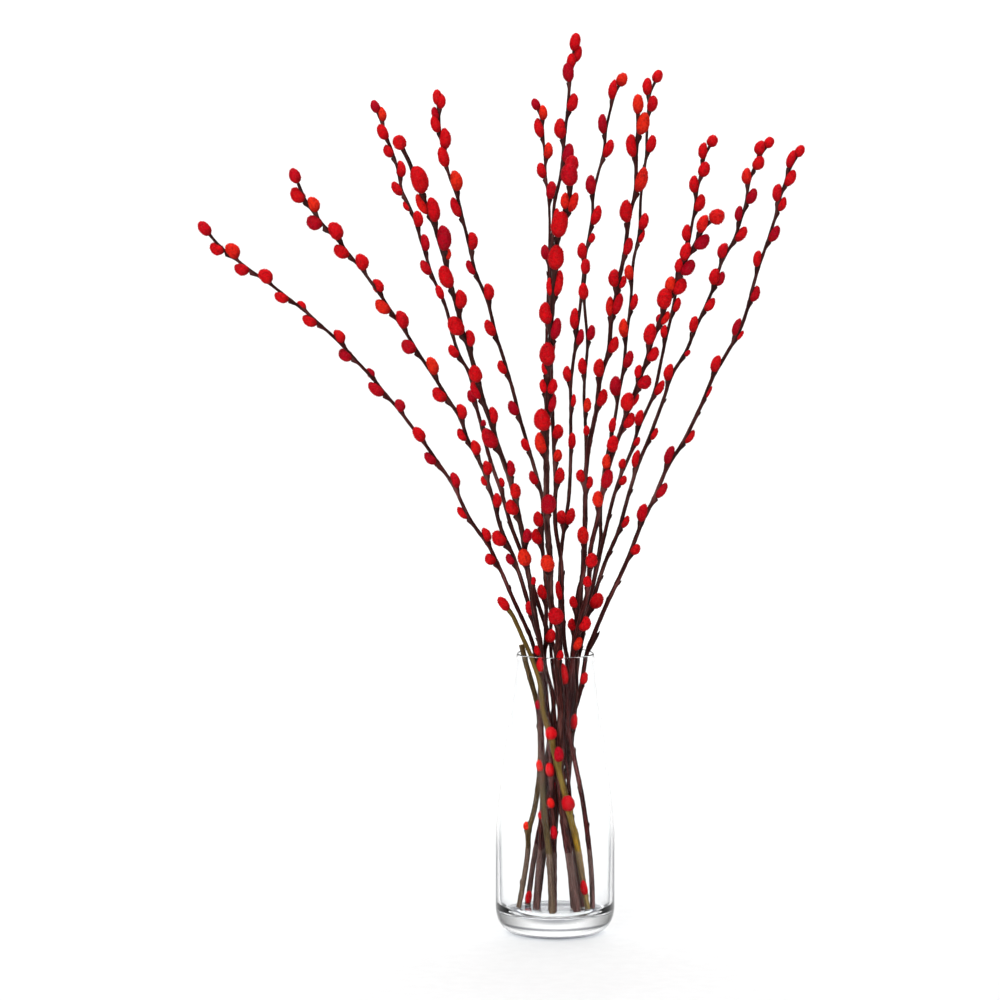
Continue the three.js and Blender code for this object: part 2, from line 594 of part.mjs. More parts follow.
function makeCatkin({ base, tip, width }) {
  const length = base.distanceTo(tip);
  const profile = catkinOutline.map(([x, y]) => new THREE.Vector2(x * width, y * length));
  const geometry = new THREE.LatheGeometry(profile, catkinSides);
  const along = tip.clone().sub(base).normalize();
  const turn = new THREE.Quaternion().setFromUnitVectors(new THREE.Vector3(0, 1, 0), along);
  geometry.applyQuaternion(turn);
  geometry.translate(base.x, base.y, base.z);
  return geometry;
}

function toSolid(geometry) {
  geometry.deleteAttribute("normal");
  geometry.deleteAttribute("uv");
  const merged = mergeVertices(geometry, 1e-4);
  const vertProperties = new Float32Array(merged.getAttribute("position").array);
  const triVerts = new Uint32Array(merged.getIndex().array);
  return new wasm.Manifold(new wasm.Mesh({ numProp: 3, vertProperties, triVerts }));
}

function toGeometry(solid) {
  const mesh = solid.getMesh();
  const geometry = new THREE.BufferGeometry();
  geometry.setAttribute("position", new THREE.BufferAttribute(new Float32Array(mesh.vertProperties), 3));
  geometry.setIndex(new THREE.BufferAttribute(new Uint32Array(mesh.triVerts), 1));
  geometry.computeVertexNormals();
  return geometry;
}

// A stem grown as one piece with its catkins
function grow(stem, points) {
  const last = points.length - 1;
  const rings = points.filter((point, i) => i === last || (i % ringEvery === 0 && i < last - 1));
  let solid = toSolid(makeStem(stem, rings));
  stem.catkins.forEach((catkin, i) => {
    solid = solid.add(toSolid(makeCatkin(catkinPlace(stem, rings, catkin, i))));
  });
  return toGeometry(solid);
}

function addPiece(group, name, geometry, material) {
  const mesh = new THREE.Mesh(geometry, material);
  mesh.name = name;
  group.add(mesh);
}

const bouquet = new THREE.Group();
addPiece(bouquet, "vase", makeVase(), glass);
const lines = stems.map((stem) => levelPoints(stemCurve(stem)));
easeApart(stems, lines);
stems.forEach((stem, i) => {
  addPiece(bouquet, stem.name, grow(stem, lines[i]), stem.olive ? oliveBark : bark);
});

export default bouquet;
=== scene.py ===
# Willow stems with red catkins in a clear glass vase: the looks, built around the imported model.
# Shapes are worked out in millimetres, in the model's frame, and become meshes in metres.

import math

import bpy
import numpy as np
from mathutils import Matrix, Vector


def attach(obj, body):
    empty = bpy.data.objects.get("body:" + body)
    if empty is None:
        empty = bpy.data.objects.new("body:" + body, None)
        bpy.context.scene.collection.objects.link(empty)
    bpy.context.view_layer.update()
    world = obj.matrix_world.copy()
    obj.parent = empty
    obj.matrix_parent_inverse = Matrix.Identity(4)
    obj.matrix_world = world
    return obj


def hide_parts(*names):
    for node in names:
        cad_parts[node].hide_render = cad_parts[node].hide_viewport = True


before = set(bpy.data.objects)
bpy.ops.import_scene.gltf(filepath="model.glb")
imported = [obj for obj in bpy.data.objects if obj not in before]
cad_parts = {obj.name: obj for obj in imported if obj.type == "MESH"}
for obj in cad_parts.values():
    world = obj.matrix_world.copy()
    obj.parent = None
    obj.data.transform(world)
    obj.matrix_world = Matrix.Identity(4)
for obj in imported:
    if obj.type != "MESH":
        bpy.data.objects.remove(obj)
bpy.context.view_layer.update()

MM = 0.001

# Vase, as in the model
VASE_HEIGHT = 284
RIM_RADIUS = 39
BELLY_RADIUS = 60
BELLY_TOP = 104
FOOT_RADIUS = 40
HEEL_OUT = BELLY_RADIUS - FOOT_RADIUS
HEEL_UP = 27
BASE_THICKNESS = 22
CORNER_OUT = 9
CORNER_UP = 11
FLOOR_WALL = 4.5
BELLY_WALL = 3
RIM_WALL = 2.2
SHOULDER = (0.72, 0.7, -0.42)

# The vase's mesh, and the slightly hollow underside that only it has
VASE_SIDES = 160
HOLLOW_RADIUS = 33
HOLLOW_UP = 4.5
HOLLOW_RINGS = (0.25, 0.5, 0.7, 0.83, 0.92, 0.975, 1.0)
WALL_STEP = 6
ARC_STEP_DEGREES = 7.5

# Lines of the stems, as in the model
BUNCH_HEIGHT = 900
TOUCH_GAP = 0.3
LINE_STEPS = 400
LINE_TENSION = 0.5
EASE_GAP = 1.4
EASE_ROUNDS = 220
EASE_LEVEL = 12
EASE_SPREAD = 4
EASE_SHARE = 1.2
EASE_MOST = 1.5
SLICE_STEM = 1.06
SLICE_CATKIN = 0.5
SLICE_CATKIN_END = 0.25
SLICE_RANGE = (-0.25, 1.2)

# Catkins, as in the model: how far base and tip lean out, by the stem's radius and the catkin's width
LEAN_BASE = (0.3, 0.16)
LEAN_TIP = (0.8, 0.44)
TIP_SUNK = 0.35
SIDE_ANGLE = {
    "R": 0, "RB": 45, "LB": 135, "L": 180, "LF": 225, "FL": 245, "F": 270, "FR": 295, "RF": 320,
}
SIDE_TURN = 22
TURN_STEP = 2.4

# Seeds of the dice: each stem's number, or each catkin's, is added
SIDE_SEED = 50
BUD_SEED = 300
CATKIN_SEED = 1000

# Smooth noise, and the step in tone from one stem to the next
NOISE_WAVES = 6
NOISE_RATES = (0.6, 1.7)
NOISE_PHASE = 6.28
TONE_STEP = 0.618

# Bark: the mesh, the swellings at the nodes and the cushion under each catkin
BARK_SIDES = 12
BARK_RING_STEP = 2.4
FULLER = ((284, 340, 900), (1.04, 1.08, 1.25))
FULLER_OLIVE = ((30, 70, 180, 250), (1.0, 1.3, 1.25, 1.0))
LUMP = 0.035
LUMP_LENGTH = 9
LUMP_REACH = 4
NODE_SWELL = 0.16
NODE_LENGTH = 3.2
NODE_BEND = 0.3
NODE_BEND_LENGTH = 9
CUSHION_SIZE = 0.27
CUSHION_BELOW = 8
CUSHION_ABOVE = 2.6
CUSHION_RISE = 1.6
CUSHION_ROUND = 1.5
CUT_INSET = 0.93
CUT_CHAMFER = 0.12
WET_HEIGHT = 84

# Buds: small pointed scales on the bare stretches
BUD_FIRST = (45, 80)
BUD_EVERY = 34
BUD_STEPS = (0.6, 1.4)
BUD_TURN = 2.4
BUD_LAST = 15
BUD_LENGTH = (4.2, 6.5)
BUD_WIDTH = (1.7, 2.5)
BUD_CLEAR = 12
BUD_CLEAR_ABOVE = (-4, 22)
BUD_SWELL = 0.22
BUD_SWELL_LENGTH = 2.2
BUD_SWELL_ROUND = (0.6, 0.4)
BUD_BASE = 0.75
BUD_SUNK = 0.15
BUD_LEAN = 0.28
BUD_START = 0.04
BUD_SHAPE = (0.6, 0.8)
BUD_FLAT = 0.8
BUD_SIDES = 8
BUD_RINGS = 6
TWIG_LENGTH = 10
TWIG_LEAN = 0.17
TWIG_TAPER = 0.5
GREEN_FADE = 40

# Catkins: how much fuller the fur makes them, the egg and the short fur over it
CATKIN_LONGER = 1.2
CATKIN_WIDER = 1.0
CATKIN_VARIES = (0.95, 1.05)
CATKIN_BLUNT = 0.8
EGG_SIDES = 14
EGG_RINGS = 11
EGG_WIDEST = 0.43
EGG_ENDS = (0.62, 0.56)
EGG_LUMP = 0.12
EGG_BOW = 0.09
EGG_FLAT = 0.94
EGG_AREA = 2.6
FUR_PER_MM2 = 0.9
FUR_LENGTH = (0.8, 1.7)
FUR_GROWTH = (0.75, 0.5)
FUR_FULL_WIDTH = 10
FUR_WIDTH = 0.34
FUR_RIDGE = 1.2
FUR_LEAN = (0.5, 0.85, 0.15)
FUR_ROOT = 0.1
FUR_RANGE = (0.06, 0.995)
FUR_STEP = 0.02
FUR_TRIES = 3

# Each stem, as in the model: its name, the radius at its foot and tip, where the foot stands, its line
# as "across depth height", and its catkins as "side height length width". A catkin on side T crowns the
# tip. Buds read like catkins, and the long one is a twig. A firm stem is eased apart only in depth, and
# green is the share of green in the bark and where it ends.
STEMS = []


def numbers(words):
    return tuple(float(word) for word in words)


def sided(text):
    """Rows of a side and three numbers."""
    rows = map(str.split, text.split(",") if text else ())
    return [(row[0], *numbers(row[1:])) for row in rows]


def add_stem(name, radius, foot, line, catkins, buds="", **marks):
    STEMS.append({
        "name": name, "radius": radius, "foot": foot, "catkins": sided(catkins), "buds": sided(buds),
        "line": [numbers(spot.split()) for spot in line.split(",")], **marks,
    })


add_stem("willow_stem_01", (2.5, 1.2), (28, 10), """
21 6 75, 9 -1 132, -2 -5 176, -13 -4 237, -21 -3 287, -28 -2 307, -44 -1 342, -62 0 383, -86 -1 420,
-106 -2 459, -136 -4 502, -167 -6 542, -198 -9 578, -229 -12 610, -264 -15 640, -296 -17 664,
-328 -19 688, -346 -20 708
""", """
L 375 11 10, R 394 14 9, L 420 14 7, R 448 16 9, LB 472 12 6, L 476 14 9, F 497 16 10, R 526 12 9,
L 545 18 10, RB 560 10 7, L 581 14 11, R 594 14 10, L 616 15 10, RB 628 10 7, L 640 14 9, R 655 15 12,
L 669 14 11, R 679 16 12, L 688 14 11, T 0 16 11
""", buds="R 347 6 3")
add_stem("willow_stem_02", (2.6, 1.2), (-1, -22), """
-1 -18 79, -3 -14 134, -5 -11 177, -8 -9 227, -14 -7 286, -23 -8 318, -29 -9 341, -42 -11 383,
-55 -13 412, -68 -17 459, -87 -21 500, -98 -24 527, -127 -29 573, -154 -34 616, -184 -39 660,
-208 -43 691, -241 -47 730, -256 -50 761
""", """
F 96 14 6, LF 128 10 7, F 160 14 8, F 323 14 9, L 375 11 8, L 395 16 13, RF 431 14 8, L 454 10 6,
R 463 14 9, RF 484 15 9, L 500 13 8, R 519 15 10, L 541 16 12, R 564 18 11, L 590 15 12, R 611 18 11,
L 629 17 11, RB 646 14 10, R 669 16 12, L 685 16 11, R 699 18 13, L 715 15 13, R 726 15 11, L 739 16 13,
T 0 15 11
""", buds="L 319 6 3.2")
add_stem("willow_stem_03", (2.6, 1.1), (38, 0), """
37 0 54, 34 -1 88, 27 -9 138, 19 -12 178, 12 -10 217, 11 -9 245, 3 -5 277, -12 3 317, -24 9 354,
-35 14 386, -44 18 409, -54 28 442, -66 36 477, -77 46 519, -86 54 559, -99 60 585, -111 70 629,
-123 76 656, -134 83 688, -145 91 723, -155 96 744, -161 101 772, -168 105 791, -181 110 825
""", """
F 252 22 8, R 446 10 6, R 507 6 5, L 531 13 7, L 577 14 9, F 634 14 7, L 659 16 8, R 681 17 8,
RF 705 16 9, LB 723 11 6, L 739 16 9, R 755 17 9, L 777 13 9, FL 794 16 10, R 811 15 8, T 0 13 9
""", firm=True, buds="R 184 6 3.2, R 106 6 3.2")
add_stem("willow_stem_04", (3.2, 1.7), (-3, -36), """
-6 -27 81, -12 -18 134, -13 -12 177, -15 -13 228, -14 -16 283, -19 -20 315, -24 -26 346, -31 -37 391,
-37 -46 429, -48 -57 470, -59 -67 504, -71 -78 542, -81 -88 579, -92 -98 615, -102 -109 655,
-111 -118 690, -121 -128 724, -133 -136 753, -144 -144 783, -151 -148 797
""", """
LF 164 12 6, LF 228 9 5, F 266 14 6, L 283 10 6, R 355 8 5, F 377 18 12, RF 399 14 9, LF 429 16 11,
FR 445 16 10, R 466 16 8, LF 498 22 13, R 519 17 9, L 546 18 9, F 564 18 12, R 597 16 9, FL 612 20 14,
R 635 18 12, FL 658 24 13, RB 683 12 8, RF 693 25 13, R 721 25 11, L 730 22 8, FR 750 28 15, T 0 14 12
""", green=(0.6, 185), firm=True)
add_stem("willow_stem_05", (2.4, 1.2), (20, -13), """
15 -10 78, 8 -6 146, 3 -9 192, -3 -8 240, -11 1 273, -10 -1 304, -9 -5 346, -13 -9 394, -13 -14 439,
-21 -16 471, -34 -18 516, -46 -20 562, -59 -21 604, -68 -22 638, -81 -23 672, -90 -24 711, -97 -25 739,
-106 -26 764, -112 -26 788, -115 -27 813, -117 -28 837
""", """
R 295 13 10, L 338 15 9, L 394 15 11, L 412 15 10, L 455 14 8, FL 489 13 7, L 525 15 9, L 566 14 8,
L 604 17 9, R 638 16 10, L 665 15 7, R 688 17 10, L 722 20 9, R 746 20 11, FL 771 20 10, R 788 20 11,
L 805 17 9, L 818 12 7, R 828 14 8, T 0 15 9
""")
add_stem("willow_stem_06", (2.0, 1.0), (24, 22), """
20 14 74, 15 3 131, 11 -4 176, 5 -3 226, -4 8 280, -4 27 324, -6 48 372, -8 70 431, -8 95 510,
-8 115 590, -6 129 650, -5 136 684, -5 143 718, -9 152 762, -11 160 797, -13 163 812, -18 165 826
""", """
L 670 15 9, RF 731 18 10, L 753 16 9, R 772 17 9, L 794 20 9, R 811 15 8, T 0 12 8
""")
add_stem("willow_stem_07", (3.8, 1.9), (22, -27), """
15 -21 72, 9 -14 110, 5 -10 156, 5 -12 201, 5 -15 241, 1 -18 283, 3 -28 308, -5 -44 340, -6 -66 385,
-10 -88 432, -10 -102 465, -10 -118 507, -10 -131 548, -8 -143 585, -6 -153 624, -4 -163 663,
-3 -170 690, 2 -176 715, 9 -181 736, 12 -186 760, 13 -190 778
""", """
RF 279 10 6, F 320 18 14, F 376 19 13, F 436 22 14, L 495 22 11, FL 520 23 15, R 536 20 9, R 556 15 9,
L 556 14 7, L 574 14 6, F 585 24 14, RB 593 14 6, R 609 22 9, L 624 21 12, R 651 26 9, L 651 18 6,
F 679 25 14, FL 710 26 14, R 734 20 8, L 736 16 8, F 760 22 15, T 0 15 12
""", firm=True)
add_stem("willow_stem_08", (2.5, 1.2), (-3, 4), """
-2 8 75, 0 12 129, 5 12 173, 10 8 225, 13 5 273, 9 6 296, 7 11 344, 6 15 374, 0 20 411, 0 24 451,
-2 28 496, -4 31 566, -5 34 636, -3 36 696, -1 37 733, 4 38 754, 8 38 786, 11 39 818, 14 39 848,
17 40 876, 19 40 890
""", """
F 142 7 5, L 334 20 6, R 451 16 10, RF 473 12 8, R 496 14 10, R 715 12 5, R 773 19 11, L 796 20 12,
R 824 18 10, LF 853 19 11, F 867 14 8, R 873 17 9, T 0 18 10
""", buds="R 360 6 3")
add_stem("willow_stem_09", (2.2, 1.2), (18, 5), """
14 8 75, 13 7 130, 15 4 174, 17 2 226, 20 -1 281, 24 -3 307, 26 -5 348, 28 -8 399, 30 -12 449,
30 -16 500, 28 -19 545, 31 -22 595, 28 -24 640, 29 -25 670
""", """
F 205 16 6, F 504 10 6, R 527 14 7, L 565 16 8, R 599 15 8, F 640 16 9, T 0 15 9
""", buds="R 207 6 3.2")
add_stem("willow_stem_10", (2.3, 1.1), (-18, -5), """
-15 -3 77, -14 0 131, -9 3 175, -2 8 225, 5 14 279, 5 24 324, 5 33 364, 8 40 396, 14 48 436, 16 56 483,
16 66 542, 20 73 583, 25 79 621, 29 86 658, 32 90 683, 38 96 718, 40 100 743, 50 107 784, 53 112 809,
61 117 839, 67 120 852
""", """
F 115 8 6, L 408 13 10, R 408 17 9, F 483 16 7, R 524 14 5, L 550 16 9, R 587 17 8, L 602 22 9,
L 673 16 9, R 690 10 6, R 708 20 9, L 738 19 10, R 776 19 9, L 799 20 9, L 833 20 8, T 0 14 11
""")
add_stem("willow_stem_11", (3.0, 1.5), (-4, -9), """
-3 -4 77, 0 4 131, 7 8 174, 13 3 225, 16 -5 281, 21 -12 314, 23 -20 348, 28 -25 371, 29 -37 424,
29 -45 460, 32 -53 495, 38 -59 526, 43 -67 563, 51 -73 594, 54 -80 626, 60 -86 658, 66 -93 691,
71 -100 728, 76 -105 752, 77 -112 791, 78 -117 815, 78 -120 832
""", """
L 307 12 8, L 331 12 8, F 398 18 10, R 453 12 7, L 460 12 9, R 537 18 9, L 566 18 10, R 591 17 9,
L 626 20 7, RF 629 22 8, L 655 17 11, R 655 12 7, RF 688 18 8, LF 720 22 12, RF 750 25 11, L 783 22 11,
RF 806 22 12, T 0 19 10
""")
add_stem("willow_stem_12", (2.2, 1.1), (-3, 20), """
-1 20 73, 3 16 129, 12 11 173, 12 8 225, 14 8 245, 17 12 279, 31 30 318, 39 38 353, 46 46 392, 46 53 419,
50 62 462, 58 71 498, 64 78 531, 70 86 567, 74 93 604, 78 100 639, 80 106 670, 86 112 702, 88 119 738,
93 126 776, 94 130 798, 97 137 837, 104 140 855
""", """
FL 498 15 6, L 534 20 11, R 563 18 9, L 593 19 9, R 621 17 7, LF 651 15 9, R 689 15 6, R 702 17 9,
R 780 18 9, RF 821 16 10, L 837 18 9, T 0 13 10
""")
add_stem("willow_stem_13", (2.4, 1.1), (-17, 32), """
-11 31 71, -2 29 126, 9 28 171, 18 25 222, 24 18 278, 29 19 304, 35 24 334, 42 29 365, 51 36 404,
62 43 447, 74 48 475, 85 54 506, 100 60 541, 108 65 576, 116 70 611, 123 74 644, 134 78 684, 140 82 719,
145 85 749, 151 88 776, 158 90 791
""", """
R 449 10 7, L 463 10 7, R 487 10 5, L 506 16 8, R 538 17 7, L 594 13 7, R 621 15 7, L 691 17 9,
R 722 18 10, L 740 17 10, RF 757 15 11, L 774 16 9, T 0 12 11
""", buds="R 415 6 3")
add_stem("willow_stem_14", (3.0, 1.5), (-19, 5), """
-15 3 76, -7 5 131, 0 5 174, 10 -1 226, 18 -14 289, 24 -27 320, 32 -42 353, 34 -58 394, 41 -70 427,
48 -83 466, 58 -94 502, 69 -105 537, 82 -115 572, 91 -124 602, 102 -132 632, 114 -140 664, 128 -149 694,
143 -156 720, 151 -160 727
""", """
RF 289 15 7, R 310 14 12, F 357 12 8, F 378 16 11, LF 439 17 10, FR 459 21 10, L 477 15 8, FL 495 17 10,
R 520 16 10, LF 537 19 12, RB 541 14 6, RF 561 14 12, L 568 13 7, R 587 15 10, L 602 21 11, LB 623 8 6,
R 623 14 7, LF 638 21 14, R 654 17 12, L 654 15 9, R 673 17 11, L 673 14 8, L 685 17 10, R 699 17 12,
L 712 18 10, T 0 15 14
""")
add_stem("willow_stem_15", (2.5, 1.2), (-20, 18), """
-16 16 73, -11 14 129, -5 13 173, 9 15 224, 14 15 244, 23 10 279, 31 9 316, 41 13 346, 50 16 373,
63 20 404, 75 24 445, 85 27 475, 97 29 505, 108 32 534, 118 34 562, 133 36 588, 145 38 617, 157 40 644,
167 42 673, 180 44 698, 190 46 729, 196 48 759, 208 50 784, 213 50 791
""", """
RF 328 16 12, R 408 13 7, L 466 18 8, R 496 13 6, L 553 17 9, R 580 7 4, L 602 16 8, R 625 15 8,
LF 650 16 9, R 650 15 8, L 675 16 10, R 695 17 9, L 713 15 8, R 732 16 9, L 750 16 9, RF 766 14 10,
L 779 14 10, T 0 11 9
""", buds="R 532 6 2.8, R 443 6 3, R 380 6 3, R 357 6 3")
add_stem("willow_stem_16", (2.7, 1.2), (-28, 26), """
-21 28 71, -10 27 127, 0 21 172, 11 17 203, 22 9 236, 29 2 273, 32 -1 287, 39 -3 304, 51 -5 333,
68 -8 370, 83 -10 408, 100 -12 446, 112 -13 473, 128 -15 500, 142 -17 529, 155 -19 560, 171 -20 589,
185 -22 616, 195 -24 653, 206 -26 689, 215 -28 717, 222 -29 744, 233 -30 776, 239 -30 785
""", """
F 23 13 6, F 251 13 7, R 385 11 8, L 416 18 9, R 442 17 8, L 473 19 9, R 497 15 7, R 541 14 3,
L 566 17 9, R 600 11 4, L 602 18 8, R 638 16 9, L 671 16 8, R 698 17 9, R 728 14 8, L 736 17 9,
RF 753 17 9, L 769 18 8, T 0 12 9
""", buds="R 524 6 2.8, R 353 7 3.2, R 289 24 5, R 299 6 4")
add_stem("short_willow_stem", (2.6, 2.0), (33, -5), """
28 -7 52, 21 -11 96, 13 -16 127, 7 -19 154, 1 -20 175, -6 -19 205, -12 -18 226, -15 -17 253, -23 -15 279,
-34 -16 304, -42 -16 322, -50 -16 333
""", """
F 38 16 6, F 127 16 12, R 175 15 9, F 199 12 11, T 0 16 9
""", olive=True, firm=True)
add_stem("cut_willow_twig", (2.6, 2.6), (-37, 6), """
-33 7 44, -28 6 76, -26 4 102, -20 1 129, -16 -3 160, -15 -3 192, -17 -1 226, -24 0 254, -28 1 268,
-31 2 279, -34 3 292
""", """
L 102 8 6
""", green=(0.75, 1000), firm=True, buds="L 207 6 3.4, L 106 6 3.4, L 46 6 3.4")

# Stage: a pale floor that sweeps up into a backdrop, under soft lamps that leave its far sides dark
SWEEP_FRONT = -9.0
SWEEP_BACK = 5.6
SWEEP_CURVE = 1.4
SWEEP_STEP_DEGREES = 5
SWEEP_TOP = 2.4
FLOOR_DROP = 0.0002
SWEEP_SIDE = 9.0
WORLD_STRENGTH = 0.15

# The camera, as the photo saw it
CAMERA_SPOT = (-0.0555, -4.9, 0.953)
CAMERA_PITCH_DEGREES = 84
SENSOR_MM = 36
LENS_MM = 177.4
CLIP_END = 100


# Shapes of the vase

def quarter_round(drop):
    """How far a rounded corner has swung in: 1 at its start and 0 at its end."""
    return math.sqrt(max(0, 1 - drop * drop))


def outside_radius(height):
    if height < HEEL_UP:
        return FOOT_RADIUS + HEEL_OUT * quarter_round((HEEL_UP - height) / HEEL_UP)
    if height < BELLY_TOP:
        return BELLY_RADIUS
    rise = (height - BELLY_TOP) / (VASE_HEIGHT - BELLY_TOP)
    eased = rise * (SHOULDER[0] + SHOULDER[1] * rise + SHOULDER[2] * rise * rise)
    return BELLY_RADIUS + (RIM_RADIUS - BELLY_RADIUS) * eased


def wall_at(height):
    lower = max(0, (BELLY_TOP - height) / (BELLY_TOP - BASE_THICKNESS))
    upper = max(0, (height - BELLY_TOP) / (VASE_HEIGHT - BELLY_TOP))
    return BELLY_WALL + (FLOOR_WALL - BELLY_WALL) * lower + (RIM_WALL - BELLY_WALL) * upper


def inside_radius(height):
    clear = outside_radius(max(height, HEEL_UP)) - wall_at(height)
    drop = (BASE_THICKNESS + CORNER_UP - height) / CORNER_UP
    if drop <= 0:
        return clear
    return clear - CORNER_OUT + CORNER_OUT * quarter_round(drop)


# Lines of the stems

def catmull_points(points, steps):
    """Points along a Catmull-Rom curve, evenly spaced in its parameter."""
    points = np.asarray(points, float)
    before = 2 * points[0] - points[1]
    after = 2 * points[-1] - points[-2]
    padded = np.vstack([before, points, after])
    spans = len(points) - 1
    where = np.linspace(0, spans, steps + 1)
    first = np.minimum(where.astype(int), spans - 1)
    t = (where - first)[:, None]
    p0, p1, p2, p3 = (padded[first + k] for k in range(4))
    t0 = LINE_TENSION * (p2 - p0)
    t1 = LINE_TENSION * (p3 - p1)
    return p1 + t0 * t + (3 * (p2 - p1) - 2 * t0 - t1) * t ** 2 + (2 * (p1 - p2) + t0 + t1) * t ** 3


def level_points(stem):
    """Points of a stem at every EASE_LEVEL of height, from its foot to its tip."""
    foot, line = stem["foot"], stem["line"]
    lean = math.hypot(line[0][0] - foot[0], line[0][1] - foot[1]) / (line[0][2] - BASE_THICKNESS)
    seat = BASE_THICKNESS + TOUCH_GAP + stem["radius"][0] * lean
    fine = catmull_points([(*foot, seat), *line], LINE_STEPS)
    points = [fine[0]]
    level = math.ceil((fine[0][2] + EASE_LEVEL / 2) / EASE_LEVEL) * EASE_LEVEL
    for a, b in zip(fine, fine[1:]):
        while b[2] >= level and level < fine[-1][2] - EASE_LEVEL / 2:
            points.append(a + (b - a) * (level - a[2]) / (b[2] - a[2]))
            level += EASE_LEVEL
    points.append(fine[-1])
    return np.array(points)


def unit(vectors):
    return vectors / np.linalg.norm(vectors, axis=-1, keepdims=True)


def sideways(along, degrees):
    """Directions square to the stem that point towards an angle seen from above."""
    angle = np.radians(degrees)
    out = np.stack([np.cos(angle), np.sin(angle), np.zeros_like(angle)], axis=-1)
    return unit(out - np.sum(out * along, axis=-1, keepdims=True) * along)


def radius_at(stem, points, height):
    share = (height - points[0][2]) / (points[-1][2] - points[0][2])
    return stem["radius"][0] + (stem["radius"][1] - stem["radius"][0]) * share


class Catkins:
    """The catkins of one stem: their sizes, and where they sit on its line."""

    def __init__(self, stem):
        rows = stem["catkins"]
        self.crown = np.array([row[0] == "T" for row in rows])
        self.height, self.length, self.width = np.array([row[1:] for row in rows], float).T
        turn = SIDE_TURN * np.sin(np.arange(len(rows)) * TURN_STEP)
        side = np.array([SIDE_ANGLE.get(row[0], 0) for row in rows])
        self.angle = np.where(self.crown, 0, side + turn)

    def place(self, stem, points):
        """Their bases and tips, and the directions out from the stem and along it."""
        height = np.where(self.crown, points[-1, 2], self.height)
        i = np.clip(np.searchsorted(points[:, 2], height), 1, len(points) - 1)
        step = points[i] - points[i - 1]
        point = points[i - 1] + step * ((height - points[i - 1, 2]) / step[:, 2])[:, None]
        along = unit(step)
        out = sideways(along, self.angle)
        radius = radius_at(stem, points, height)
        sunk = np.where(self.crown, -TIP_SUNK * self.length, 0)
        low = np.where(self.crown, 0, LEAN_BASE[0] * radius + LEAN_BASE[1] * self.width)
        high = np.where(self.crown, 0, LEAN_TIP[0] * radius + LEAN_TIP[1] * self.width)
        base = point + out * low[:, None] + along * sunk[:, None]
        tip = point + out * high[:, None] + along * (self.length + sunk)[:, None]
        return base, tip, out, along


